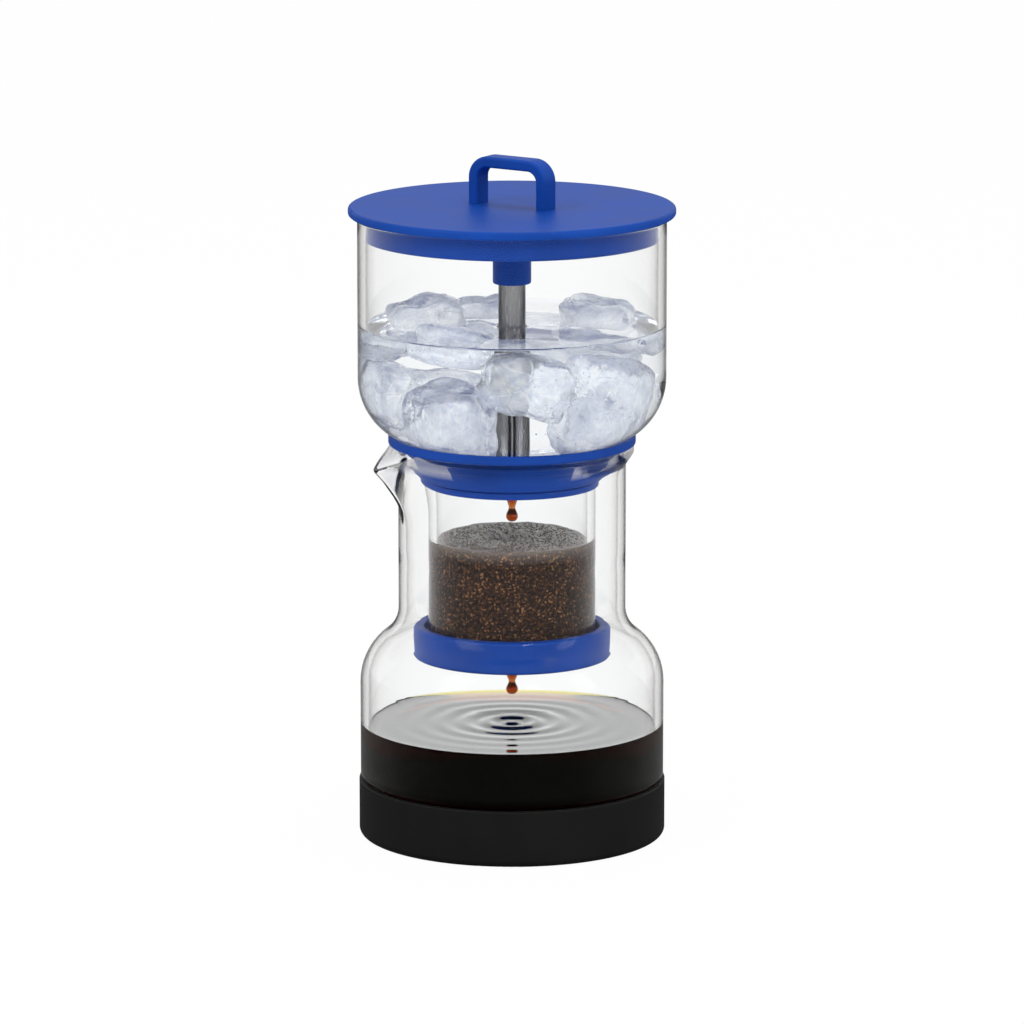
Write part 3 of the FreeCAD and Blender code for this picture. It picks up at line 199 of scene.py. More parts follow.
class Paint(Graph):
    """A material's node tree, with the shapes that finishes share."""

    def __init__(self, name: str) -> None:
        """Make an empty material of that name."""
        self.material = bpy.data.materials.new(name)
        self.material.use_nodes = True
        self.material.node_tree.nodes.clear()
        super().__init__(self.material.node_tree, "ShaderNode")
        self.place = self.node("TexCoord", output="Object")

    def grain(self, scale: float, detail: float = 2.0, stretch: tuple = (1, 1, 1)) -> Wire:
        """Noise of a scale in cells per metre, stretched along the axes."""
        place = self.node("Mapping", {}, {"Vector": self.place, "Scale": stretch})
        return self.node("TexNoise", {}, {"Vector": place, "Scale": scale, "Detail": detail})

    def cells(self, scale: float, output: str = "Color") -> Wire:
        """Voronoi cells of a scale in cells per metre."""
        return self.node("TexVoronoi", {}, {"Vector": self.place, "Scale": scale}, output)

    def height(self) -> Wire:
        """Height over the rest face, in metres."""
        return self.node("SeparateXYZ", {}, {"Vector": self.place}, "Z")

    def radius(self) -> Wire:
        """Distance from the upright axis, in metres."""
        flat = self.node("Mapping", {}, {"Vector": self.place, "Scale": (1, 1, 0)})
        return self.node("VectorMath", {"operation": "LENGTH"}, {0: flat}, "Value")

    def edge_on(self) -> Wire:
        """How far the surface turns away from the eye, from 0 to 1."""
        return self.node("LayerWeight", {}, {"Blend": 0.5}, "Facing")

    def ramp(self, factor: Wire, *stops: tuple) -> Wire:
        """Colours along a factor from 0 to 1."""
        return self.node("ValToRGB", {"stops": stops}, {"Fac": factor})

    def levels(self, factor: Wire, *stops: Point) -> Wire:
        """Grey levels along a factor from 0 to 1."""
        return self.ramp(factor, *((at, (level, level, level, 1)) for at, level in stops))

    def bump(self, height: Wire, depth: float, strength: float = 1.0) -> Wire:
        """A normal from a height that spans a depth in metres."""
        return self.node("Bump", {}, {"Height": height, "Distance": depth, "Strength": strength})

    def skin(self, **inputs: object) -> Wire:
        """A Principled shader; an underscore in a name stands for a space."""
        named = {key.replace("_", " "): value for key, value in inputs.items()}
        return self.node("BsdfPrincipled", {"distribution": "MULTI_GGX"}, named)

    def finish(self, surface: Wire, volume: Wire | None = None) -> bpy.types.Material:
        """Close the tree and hand back the material."""
        ends = {"Surface": surface}
        if volume:
            ends["Volume"] = volume
        self.node("OutputMaterial", {}, ends)
        return self.material

    def clear_to_lamps(self, surface: Wire) -> Wire:
        """Let lamp light and soft bounced light pass a clear surface unbent."""
        shadow = self.node("LightPath", output="Is Shadow Ray")
        soft = self.node("LightPath", output="Is Diffuse Ray")
        passing = self.node("BsdfTransparent", {}, {"Color": (0.97, 0.97, 0.97, 1)})
        factor = shadow.at_least(soft)
        return self.node("MixShader", {}, {0: factor, 1: surface, 2: passing})


# Finishes


@dataclass(frozen=True)
class ClearGlass:
    """Polished clear glass, with painted grey and dark lines where it is seen edge on and painted light on
    the carafe's rim band.
    """

    name: str = "clear_glass"
    tint: Colour = (0.985, 0.99, 0.99, 1)
    painted_edge_grey: Colour = (0.94, 0.94, 0.94, 1)
    painted_inner_dark_line: Colour = (0.66, 0.65, 0.64, 1)
    between: Colour = (0.55, 0.54, 0.53, 1)
    edge: Colour = (0.085, 0.08, 0.075, 1)
    rim: tuple[float, ...] = (0.1490, 0.1505, 0.1580, 0.1590)

    def make(self) -> bpy.types.Material:
        """Build the material."""
        paint = Paint(self.name)
        # Painted shade: the colour darkens in bands where the glass is seen edge on, painting dark edge
        # lines that stand in for dark surroundings seen through it.
        colour = paint.ramp(paint.edge_on(), (0.0, self.tint), (0.62, self.painted_edge_grey),
                            (0.76, self.painted_inner_dark_line), (0.86, self.edge), (0.93, self.between),
                            (1.0, self.edge))
        # Painted light on the carafe's rim band: the painted dark lines are lifted there and the band is
        # mixed with a warm grey see-through shader, so it shows lighter than the glass renders.
        fade_in, full, fade_out, gone = self.rim
        rim = paint.levels(paint.height(), (0.0, 0.0), (fade_in, 0.0), (full, 1.0), (fade_out, 1.0),
                           (gone, 0.0))
        colour = paint.blend(rim * 0.85, colour, self.tint)
        waves = paint.grain(55, 1.0)
        skin = paint.skin(Base_Color=colour, Roughness=0.0, IOR=1.47, Transmission_Weight=1.0,
                          Specular_Tint=(0.09, 0.09, 0.09, 1),
                          Normal=paint.bump(waves, 0.00004, 0.6))
        # Painted light: a warm grey see-through shader that lightens the rim band.
        painted_light_pass = paint.node("BsdfTransparent", {}, {"Color": (0.88, 0.87, 0.85, 1)})
        blended = paint.node("MixShader", {}, {0: rim * 0.62, 1: skin, 2: painted_light_pass})
        return paint.finish(paint.clear_to_lamps(blended))


@dataclass(frozen=True)
class Liquid:
    """A clear liquid that takes on colour with its depth, with a mirror on a dark one's top."""

    name: str
    absorbs: Colour = WHITE
    density: float = 0.0
    tint: Colour = WHITE
    ior: float = 1.333
    sheen: Colour = (0.3, 0.3, 0.3, 1)
    mirror_z: float = 0.0
    mirror_r: float = 0.0

    def make(self) -> bpy.types.Material:
        """Build the material."""
        paint = Paint(self.name)
        mirror = 0.0
        if self.mirror_z:
            above = paint.levels(paint.height() / self.mirror_z, (0.0, 0.0), (0.985, 0.0), (0.99, 1.0))
            mirror = above * paint.levels(paint.radius() / self.mirror_r, (0.98, 1.0), (0.99, 0.0))
        swell = paint.grain(70, 1.0)
        skin = paint.skin(Base_Color=self.tint, Roughness=0.0, IOR=self.ior, Transmission_Weight=1.0,
                          Specular_Tint=self.sheen, Coat_Weight=mirror, Coat_IOR=1.9, Coat_Roughness=0.0,
                          Normal=paint.bump(swell, 0.00008, 0.5))
        if not self.density:
            return paint.finish(paint.clear_to_lamps(skin))
        inside = paint.node("VolumeAbsorption", {}, {"Color": self.absorbs, "Density": self.density})
        return paint.finish(skin, inside)


@dataclass(frozen=True)
class Ice:
    """Melting ice: clear skin, cloudy heart, cracks and trapped air."""

    name: str = "ice"

    def make(self) -> bpy.types.Material:
        """Build the material."""
        paint = Paint(self.name)
        cloud = paint.levels(paint.grain(60, 5.0), (0.42, 0.0), (0.66, 1.0))
        crack = paint.node("TexVoronoi", {"feature": "DISTANCE_TO_EDGE"},
                           {"Vector": paint.place, "Scale": 95.0})
        split = paint.levels(crack, (0.0, 1.0), (0.035, 0.0))
        pits = paint.grain(420, 3.0)
        milky = (cloud * 0.55 + split * 0.16 + 0.12).at_most(0.85)
        rough = cloud * 0.25 + 0.04
        height = paint.grain(110, 3.0) * 0.6 + pits * 0.22 + split * 0.12
        normal = paint.bump(height, 0.0011, 0.7)
        clear = paint.skin(Base_Color=(0.965, 0.98, 1.0, 1), Roughness=rough, IOR=1.2,
                           Transmission_Weight=1.0, Normal=normal)
        colour = paint.ramp(pits, (0.35, srgb(214, 224, 240)), (0.65, srgb(250, 252, 255)))
        frost = paint.skin(Base_Color=colour, Roughness=0.35, Normal=normal)
        mixed = paint.node("MixShader", {}, {0: milky, 1: clear, 2: frost})
        return paint.finish(paint.clear_to_lamps(mixed))


@dataclass(frozen=True)
class Moulded:
    """Satin moulded silicone or plastic with a fine grain."""

    name: str
    colour: Colour
    worn: Colour
    roughness: float = 0.42
    grain: float = 2600
    depth: float = 0.00003
    specular: float = 0.4

    def make(self) -> bpy.types.Material:
        """Build the material."""
        paint = Paint(self.name)
        fine = paint.grain(self.grain, 2.0)
        broad = paint.grain(45, 3.0)
        colour = paint.ramp(broad, (0.35, self.colour), (0.68, self.worn))
        rough = broad * 0.10 + fine * 0.06 + (self.roughness - 0.08)
        skin = paint.skin(Base_Color=colour, Roughness=rough, IOR=1.46,
                          Specular_IOR_Level=self.specular, Normal=paint.bump(fine, self.depth, 0.7))
        return paint.finish(skin)


@dataclass(frozen=True)
class Metal:
    """Brushed or turned metal, with its brushing round or along the axis, and painted shade that darkens it
    where it is seen edge on.
    """

    name: str
    colour: Colour
    dark: Colour
    roughness: float = 0.26
    stretch: tuple = (1, 1, 0.02)

    def make(self) -> bpy.types.Material:
        """Build the material."""
        paint = Paint(self.name)
        lines = paint.grain(3200, 2.0, self.stretch)
        stain = paint.grain(120, 3.0)
        # Painted shade: the base colour darkens where the metal is seen edge on, standing in for dark
        # surroundings in its reflection.
        shade = paint.levels(paint.edge_on(), (0.0, 0.95), (0.22, 0.62), (0.5, 0.30), (0.9, 0.14))
        colour = paint.multiply(paint.blend(stain, self.colour, self.dark), shade)
        skin = paint.skin(Base_Color=colour, Metallic=1.0,
                          Roughness=lines * 0.16 + (self.roughness - 0.06),
                          Normal=paint.bump(lines, 0.00001, 0.5))
        return paint.finish(skin)


@dataclass(frozen=True)
class ClearRubber:
    """Translucent silicone of washers and gaskets."""

    name: str = "clear_silicone"

    def make(self) -> bpy.types.Material:
        """Build the material."""
        paint = Paint(self.name)
        haze = paint.grain(900, 2.0)
        colour = paint.ramp(haze, (0.3, srgb(206, 210, 212)), (0.7, srgb(228, 230, 230)))
        skin = paint.skin(Base_Color=colour, Roughness=haze * 0.2 + 0.3, IOR=1.41,
                          Transmission_Weight=0.35, Normal=paint.bump(haze, 0.00002))
        return paint.finish(skin)


@dataclass(frozen=True)
class Grounds:
    """Wet ground coffee: dark grains with tan flecks between them, a real coat on the wet top and a painted
    sheen that lightens the top's colour.
    """

    name: str = "wet_grounds"
    scale: float = 1750
    painted_sheen_tone: Colour = srgb(166, 150, 136)
    dry_to: float = 0.1170
    wet_from: float = 0.1176

    def make(self) -> bpy.types.Material:
        """Build the material."""
        paint = Paint(self.name)
        tone = paint.node("SeparateColor", {}, {0: paint.cells(self.scale)}, 0)
        colour = paint.ramp(tone, (0.0, srgb(16, 10, 7)), (0.40, srgb(38, 24, 17)),
                            (0.70, srgb(66, 42, 29)), (0.90, srgb(104, 68, 44)),
                            (0.98, srgb(168, 122, 84)))
        gaps = paint.cells(self.scale, "Distance")
        shade = paint.levels(gaps, (0.0, 0.85), (0.8, 0.12))
        patches = paint.levels(paint.grain(140, 3.0), (0.35, 0.72), (0.65, 1.0))
        wet_coat_and_sheen = paint.levels(paint.height(), (0.0, 0.0), (self.dry_to, 0.0), (self.wet_from, 1.0))
        # Painted sheen: the top's colour is lightened towards a pale grey-brown, standing in for light
        # reflected off the wet surface; the same mask gives the top a real coat.
        toned = paint.blend(wet_coat_and_sheen * 0.5, paint.multiply(colour, patches), self.painted_sheen_tone)
        skin = paint.skin(Base_Color=toned, Roughness=tone * 0.35 + 0.32, IOR=1.4,
                          Specular_IOR_Level=0.45, Coat_Weight=wet_coat_and_sheen, Coat_IOR=2.2, Coat_Roughness=0.22,
                          Normal=paint.bump(shade, 0.0007, 0.9))
        return paint.finish(skin)


@dataclass(frozen=True)
class StudioFloor:
    """A pale sweep: white to the camera and through glass, dim in reflections."""

    name: str = "studio_floor"
    shown: float = 0.965
    mirrored: float = 0.16

    def make(self) -> bpy.types.Material:
        """Build the material."""
        paint = Paint(self.name)
        camera = paint.node("LightPath", output="Is Camera Ray")
        glossy = paint.node("LightPath", output="Is Glossy Ray")
        through = paint.node("LightPath", output="Is Transmission Ray")
        bright = camera.at_least(through)
        shown = (bright * self.shown).at_least(glossy)
        level = bright.at_least(self.mirrored)
        white = paint.node("Emission", {}, {"Color": (1, 1, 1, 1), "Strength": level})
        matte = paint.skin(Base_Color=(0.9, 0.9, 0.9, 1), Roughness=0.9, Specular_IOR_Level=0.0)
        return paint.finish(paint.node("MixShader", {}, {0: shown, 1: matte, 2: white}))


# Mesh workshop


def rounded(corners: tuple[Corner, ...], step: float = 9.0) -> list[Point]:
    """Lay a tangent arc into each rounded corner of a closed outline.

    Args:
        corners: Across, up and rounding of each corner.
        step: Degrees of turn from one point of an arc to the next.

    Returns:
        The outline's points in order.
    """
    points: list[Point] = []
    count = len(corners)
    for index, (across, up, rounding) in enumerate(corners):
        spot = Vector((across, up))
        if not rounding:
            points.append((across, up))
            continue
        back = (Vector(corners[index - 1][:2]) - spot).normalized()
        ahead = (Vector(corners[(index + 1) % count][:2]) - spot).normalized()
        opening = back.angle(ahead)
        reach = rounding / math.tan(opening / 2)
        middle = spot + (back + ahead).normalized() * math.hypot(reach, rounding)
        first = spot + back * reach - middle
        turn = first.angle_signed(spot + ahead * reach - middle)
        pieces = max(2, round(math.degrees(abs(turn)) / step))
        for part in range(pieces + 1):
            angle = -turn * part / pieces
            spun = Matrix.Rotation(angle, 2) @ first + middle
            points.append((spun.x, spun.y))
    return points


def split_long(points: list[Point], longest: float, closed: bool = True) -> list[Point]:
    """Divide an outline's long runs so that no edge is longer than the given length."""
    divided: list[Point] = []
    for index, (across, up) in enumerate(points):
        if not closed and index == len(points) - 1:
            divided.append((across, up))
            break
        following = points[(index + 1) % len(points)]
        run = math.dist((across, up), following)
        pieces = max(1, math.ceil(run / longest))
        for part in range(pieces):
            share = part / pieces
            divided.append((across + (following[0] - across) * share, up + (following[1] - up) * share))
    return divided


def new_piece(name: str, verts: list, faces: list, material: bpy.types.Material,
              sharp: float = 40.0) -> bpy.types.Object:
    """Make an object at the origin from vertices in metres and faces.

    Args:
        name: The piece's name.
        verts: Vertex places.
        faces: Vertex numbers of each face.
        material: The finish.
        sharp: Edges that turn by more degrees than this stay crisp.

    Returns:
        The object, linked to the scene.
    """
    mesh = bpy.data.meshes.new(name)
    mesh.from_pydata(verts, [], faces)
    mesh.validate()
    mesh.materials.append(material)
    mesh.polygons.foreach_set("use_smooth", [True] * len(mesh.polygons))
    mesh.set_sharp_from_angle(angle=math.radians(sharp))
    piece = bpy.data.objects.new(name, mesh)
    bpy.context.scene.collection.objects.link(piece)
    return piece


def bridged(lows: list[list[int]], highs: list[list[int]]) -> list[tuple[int, ...]]:
    """Faces between pairs of closed rings of vertices; a ring may be one point repeated."""
    faces = []
    for low, high in zip(lows, highs):
        for step in range(len(low)):
            after = (step + 1) % len(low)
            corners = dict.fromkeys((low[step], low[after], high[after], high[step]))
            if len(corners) > 2:
                faces.append(tuple(corners))
    return faces


def lathe(name: str, outline: list[Point], material: bpy.types.Material, angles: int) -> bpy.types.Object:
    """Turn a closed outline (millimetres) round the Z axis into a closed mesh.

    Args:
        name: The piece's name.
        outline: Points counter-clockwise, as radius and height.
        material: The finish.
        angles: How many steps go round.

    Returns:
        The piece.
    """
    verts: list[Vector] = []
    rings: list[list[int]] = []
    for across, up in outline:
        if across < 1e-6:
            rings.append([len(verts)] * angles)
            verts.append(Vector((0, 0, up)) * MM)
            continue
        rings.append(list(range(len(verts), len(verts) + angles)))
        for step in range(angles):
            verts.append(round_spot(across, math.tau * step / angles, up))
    return new_piece(name, verts, bridged(rings, rings[1:] + rings[:1]), material)


def dress(node: str, material: bpy.types.Material) -> None:
    """Give a carried-over solid its finish."""
    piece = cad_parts[node]
    for slot in piece.material_slots:
        slot.material = material
    LOG.info("%s: dressed with %s", node, material.name)


def stand_in(piece: bpy.types.Object, body: Body, slot: str, *nodes: str) -> None:
    """Let a piece ride on its body and hide the plain solids that it replaces."""
    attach(piece, body.value)
    if nodes:
        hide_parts(*nodes)
    LOG.info("%s: %d faces on %s", piece.name, len(piece.data.polygons), body.value)


# Geometry nodes


class Recipe(Graph):
    """A geometry node tree with named sizes as its inputs."""

    def __init__(self, name: str, sizes: dict[str, float]) -> None:
        """Make the tree, its geometry sockets and one float input for each size."""
        tree = bpy.data.node_groups.new(name, "GeometryNodeTree")
        super().__init__(tree, "GeometryNode")
        face = tree.interface
        face.new_socket("Geometry", in_out="INPUT", socket_type="NodeSocketGeometry")
        face.new_socket("Geometry", in_out="OUTPUT", socket_type="NodeSocketGeometry")
        self.sockets = {
            key: face.new_socket(key, in_out="INPUT", socket_type="NodeSocketFloat").identifier
            for key in sizes
        }
        self.sizes = sizes
        self.entry = tree.nodes.new("NodeGroupInput")
        self.exit = tree.nodes.new("NodeGroupOutput")

    def given(self, key: str = "Geometry") -> Wire:
        """A wire from one of the tree's inputs."""
        return Wire(self, self.entry.outputs[key])

    def chance(self, low: float, high: float, seed: int) -> Wire:
        """A random value for each element, from a fixed seed."""
        inputs = {2: low, 3: high, "Seed": seed}
        return self.node("FunctionNodeRandomValue", {"data_type": "FLOAT"}, inputs, 1)

    def vector(self, across: object, along: object, up: object) -> Wire:
        """Join three values to a vector."""
        return self.node("ShaderNodeCombineXYZ", {}, {0: across, 1: along, 2: up})

    def grow(self, name: str, result: Wire, material: bpy.types.Material,
             carrier: bpy.types.Object) -> bpy.types.Object:
        """End the tree, run it on a carrier and keep the result as a plain mesh.

        Args:
            name: Name of the new piece.
            result: The tree's geometry before it is made real.
            material: The finish of the new piece.
            carrier: The object whose mesh goes in; it is removed afterwards.

        Returns:
            The new piece, with no modifier on it.
        """
        real = self.node("RealizeInstances", {}, {0: result})
        dressed = self.node("SetMaterial", {}, {"Geometry": real, "Material": material})
        self.tree.links.new(dressed.socket, self.exit.inputs[0])
        modifier = carrier.modifiers.new(self.tree.name, "NODES")
        modifier.node_group = self.tree
        for key, identifier in self.sockets.items():
            modifier[identifier] = float(self.sizes[key])
        graph = bpy.context.evaluated_depsgraph_get()
        graph.update()
        mesh = bpy.data.meshes.new_from_object(carrier.evaluated_get(graph))
        carrier.modifiers.remove(modifier)
        bpy.data.objects.remove(carrier)
        mesh.name = name
        mesh.materials.clear()
        mesh.materials.append(material)
        mesh.polygons.foreach_set("use_smooth", [True] * len(mesh.polygons))
        piece = bpy.data.objects.new(name, mesh)
        bpy.context.scene.collection.objects.link(piece)
        return piece


def scattered(name: str, carrier: bpy.types.Object, material: bpy.types.Material, density: float,
              size: float, flatness: float, sides: int, seed: int) -> bpy.types.Object:
    """Scatter small lumps over a carrier's faces.

    Args:
        name: Name of the new piece.
        carrier: A thin surface that the lumps lie on.
        material: Their finish.
        density: Lumps per square metre.
        size: Largest radius in metres.
        flatness: Height of a lump as a share of its width.
        sides: Subdivisions of a lump.
        seed: Fixed seed.

    Returns:
        The lumps as one plain mesh.
    """
    recipe = Recipe(name + "_recipe", {"Density": density, "Size": size, "Flatness": flatness})
    spots = recipe.node("DistributePointsOnFaces", {},
                        {"Mesh": recipe.given(), "Density": recipe.given("Density"), "Seed": seed}, "Points")
    lump = recipe.node("MeshIcoSphere", {}, {"Radius": 1.0, "Subdivisions": sides})
    wide = recipe.given("Size") * recipe.chance(0.35, 1.0, seed + 1)
    long = wide * recipe.chance(0.7, 1.25, seed + 2)
    spread = recipe.node("InstanceOnPoints", {}, {
        "Points": spots,
        "Instance": lump,
        "Rotation": Wire(recipe, spots.socket.node.outputs["Rotation"]),
        "Scale": recipe.vector(wide, long, wide * recipe.given("Flatness")),
    })
    return recipe.grow(name, spread, material, carrier)


# Carafe


@dataclass
class Carafe:
    """The lower vessel: glass with a drawn spout and its coffee."""

    body_r: float = 59.6
    step: float = 1.6
    neck_r: float = 44.5
    rim_r: float = 47.7
    rim_z: float = 156.4
    wall: float = 3.0
    spout_turn: float = 195.0
    flank_r: float = 43.3
    nose_r: float = 5.3
    spout_wall: float = 2.4
    dip_start: float = 42.0
    dip_slope: float = 0.6
    dip_half_wide: float = 23.0
    spout_from: float = 112.0
    soft: float = 1.6
    reaches: tuple[Point, ...] = ((118.0, 41.0), (126.0, 41.0), (130.0, 44.0), (136.5, 47.5),
                                  (143.0, 51.9), (149.2, 57.2), (164.4, 69.9))
    coffee_z: float = 44.4
    coffee_r: float = 56.66
    climb: float = 0.45
    ripple: float = 0.85
    ripple_long: float = 9.4
    ripple_fade: float = 15.0

    def outer(self) -> list[Point]:
        """Outline of the glass outside, from the axis up to the rim."""
        base_r = self.body_r - self.step
        return rounded((
            (0, 3, 0), (base_r, 3, 4), (base_r, 22.6, 0), (self.body_r, 24.2, 0),
            (self.body_r, 72.9, 23.59), (self.neck_r, 84.32, 13.7), (self.neck_r, 148.4, 3),
            (self.rim_r, 153.2, 1.5), (self.rim_r, self.rim_z, 1.3), (46.2, self.rim_z, 0),
            (0, self.rim_z, 0)), 6)[:-1]

    def inner(self) -> list[Point]:
        """Outline of the glass inside, from the rim down to the axis."""
        body_r = self.body_r - self.wall
        neck_r = self.neck_r - self.wall
        return rounded((
            (0, self.rim_z, 0), (46.0, self.rim_z, 0), (44.7, self.rim_z, 1.1), (neck_r, 153.4, 1.5),
            (neck_r, 82.83, 16.7), (body_r, 71.41, 20.6), (body_r, 24.2, 0), (body_r - self.step, 22.6, 0),
            (body_r - self.step, 6.6, 6), (0, 6.6, 0)), 6)[1:]

    def reach(self, up: float) -> float:
        """How far the spout's nose lies from the axis at a height."""
        for (low, near), (high, far) in zip(self.reaches, self.reaches[1:]):
            if up <= high:
                share = max(0.0, (up - low) / (high - low))
                return near + (far - near) * share
        return self.reaches[-1][1]

    def plan(self, away: float, up: float, inset: float) -> float:
        """Radius of the spout's section at an angle from its nose.

        Args:
            away: Angle from the spout's direction, in radians.
            up: Height of the section.
            inset: How far the section lies inside the outer one.

        Returns:
            Distance from the axis to the section's edge.
        """
        big = self.flank_r - inset
        small = self.nose_r - inset
        centre = self.reach(up) - self.nose_r
        if centre <= big - small:
            return big
        lean = math.acos((big - small) / centre)
        if away > lean:
            return big
        nose = math.atan2(small * math.sin(lean), centre + small * math.cos(lean))
        if away > nose:
            return big / math.cos(lean - away)
        return centre * math.cos(away) + math.sqrt(max(0.0, small ** 2 - (centre * math.sin(away)) ** 2))

    def shaped(self, across: float, up: float, inset: float, away: float) -> Point:
        """Push a point of the plain outline out into the spout and dip its edge."""
        if up < self.spout_from:
            return across, up
        radius, height = across, up
        for _ in range(6):
            along = radius * math.cos(away)
            aside = abs(radius * math.sin(away))
            fall = max(0.0, along - self.dip_start) * self.dip_slope
            fall *= 1 - smoothstep(0.62, 1.0, aside / self.dip_half_wide)
            height = up - fall * smoothstep(128, self.rim_z, up)
            spout = self.plan(away, height, inset)
            gap = spout - across
            fillet = max(0.0, self.soft - abs(gap)) ** 2 / (4 * self.soft)
            radius = max(across, spout) + fillet if gap > -self.soft else across
        return radius, height

    def angles(self) -> list[float]:
        """Angles round the axis, closer together across the spout."""
        narrow = [math.radians(-16 + 32 * step / 48) for step in range(48)]
        wide = [math.radians(16 + 328 * step / 208) for step in range(208)]
        return narrow + wide

    def make_glass(self, glass: bpy.types.Material) -> None:
        """Build the glass with its spout in one mesh."""
        outer = split_long(self.outer(), 3.2, False)
        inner = split_long(self.inner(), 3.2, False)
        outline = [(across, up, 0.0) for across, up in outer]
        outline += [(across, up, 1.0) for across, up in inner]
        turn = math.radians(self.spout_turn)
        verts: list[Vector] = []
        rings: list[list[int]] = []
        angles = self.angles()
        for across, up, side in outline:
            if across < 1e-6:
                rings.append([len(verts)] * len(angles))
                verts.append(Vector((0, 0, up)) * MM)
                continue
            if up > 154.9:
                side = min(1.0, max(0.0, (self.rim_r - across) / self.wall))
            rings.append(list(range(len(verts), len(verts) + len(angles))))
            for angle in angles:
                away = abs((angle + math.pi) % math.tau - math.pi)
                radius, height = self.shaped(across, up, side * self.spout_wall, away)
                verts.append(round_spot(radius, angle + turn, height))
        piece = new_piece("carafe_with_spout", verts, bridged(rings, rings[1:]), glass, 60)
        stand_in(piece, Body.CARAFE, "clear_glass", "carafe_bowl", "carafe_neck")

    def surface(self) -> list[Point]:
        """The coffee's surface from the wall to the axis: meniscus and rings of a drop."""
        points = []
        steps = 140
        for step in range(steps + 1):
            across = self.coffee_r * (1 - step / steps)
            climb = self.climb * math.exp(across - self.coffee_r)
            ring = self.ripple * math.cos(across * math.tau / self.ripple_long)
            ring *= math.exp(-across / self.ripple_fade)
            ring *= smoothstep(0.0, 3.0, across) * 0.75 + 0.25
            points.append((across, self.coffee_z + climb + ring - 0.1))
        points[-1] = (0.0, points[-1][1])
        return points

    def make_coffee(self, coffee: bpy.types.Material) -> None:
        """Fill the carafe; the liquid's skin lies just inside the glass wall."""
        wall = self.coffee_r
        low_r = wall - self.step
        low = rounded(((0, 6.54, 0), (low_r, 6.54, 6.06), (low_r, 22.6, 0), (wall, 24.2, 0),
                       (wall, 45.0, 0), (0, 45.0, 0)), 8)[:-2]
        side = [(wall, up) for up in (28.0, 33.0, 38.0, 42.0)]
        piece = lathe("coffee_in_carafe", low + side + self.surface(), coffee, 200)
        stand_in(piece, Body.CARAFE, "coffee", "brewed_coffee")

    def build(self, glass: bpy.types.Material, coffee: bpy.types.Material) -> None:
        """Make the carafe's pieces."""
        self.make_glass(glass)
        self.make_coffee(coffee)


# Brew chamber


@dataclass
class BrewChamber:
    """The glass tube with the coffee grounds in it."""

    outer_r: float = 32.8
    inner_r: float = 29.6
    low_z: float = 75.5
    top_z: float = 149.6
    grounds_z: float = 119.0
    seep: float = 0.06
    uneven: float = 0.34
    dent: float = 1.0

    def make_tube(self, glass: bpy.types.Material) -> None:
        """Build the chamber's glass tube."""
        outline = rounded(((self.inner_r, self.low_z, 1), (self.outer_r, self.low_z, 1),
                           (self.outer_r, self.top_z, 1), (self.inner_r, self.top_z, 1)), 20)
        piece = lathe("chamber_tube", split_long(outline, 12), glass, 224)
        stand_in(piece, Body.BREW_UNIT, "clear_glass", "chamber_glass")

    def top_height(self, across: float, along: float) -> float:
        """Height of the grounds' uneven top at a place."""
        spot = Vector((across, along, 3.1)) * 0.11
        ripple = noise.noise(spot) * 1.1 + noise.noise(spot * 3.4) * 0.7 + noise.noise(spot * 9) * 0.5
        dent = self.dent * math.exp(-(across ** 2 + along ** 2) / 60)
        return self.grounds_z - 0.2 + ripple * self.uneven - dent

    def make_grounds(self, grounds: bpy.types.Material) -> None:
        """Build the bed of grounds with a rough top."""
        angles, rings = 176, 46
        wall = self.inner_r + self.seep
        verts = [Vector((0, 0, self.top_height(0, 0))) * MM]
        circles = [[0] * angles]
        levels = [(wall * ring / rings, None) for ring in range(1, rings + 1)]
        levels += [(wall, up) for up in (104.0, 90.0, self.low_z)]
        for across, up in levels:
            circles.append(list(range(len(verts), len(verts) + angles)))
            for step in range(angles):
                angle = math.tau * step / angles
                level = up or self.top_height(across * math.cos(angle), across * math.sin(angle))
                verts.append(round_spot(across, angle, level))
        circles.append([len(verts)] * angles)
        verts.append(Vector((0, 0, self.low_z)) * MM)
        faces = [tuple(reversed(face)) for face in bridged(circles, circles[1:])]
        piece = new_piece("bed_of_grounds", verts, faces, grounds, 50)
        stand_in(piece, Body.BREW_UNIT, "grounds", "coffee_grounds")

    def make_loose_grains(self, grounds: bpy.types.Material) -> None:
        """Scatter single grains over the bed's top."""
        rows = 26
        spots = {}
        verts, faces = [], []
        for i in range(-rows, rows + 1):
            for j in range(-rows, rows + 1):
                x, y = i * 29.0 / rows, j * 29.0 / rows
                if math.hypot(x, y) < self.inner_r - 0.9:
                    spots[i, j] = len(verts)
                    verts.append(Vector((x, y, self.top_height(x, y) + 0.05)) * MM)
        for i, j in spots:
            ring = [(i, j), (i + 1, j), (i + 1, j + 1), (i, j + 1)]
            if all(spot in spots for spot in ring):
                faces.append(tuple(spots[spot] for spot in ring))
        carrier = new_piece("grain_carrier", verts, faces, grounds)
        piece = scattered("loose_grains", carrier, grounds, density=450000, size=0.00055,
                          flatness=0.55, sides=1, seed=11)
        stand_in(piece, Body.BREW_UNIT, "grounds")

    def build(self, glass: bpy.types.Material, grounds: bpy.types.Material) -> None:
        """Make the chamber's pieces."""
        self.make_tube(glass)
        self.make_grounds(grounds)
        self.make_loose_grains(grounds)


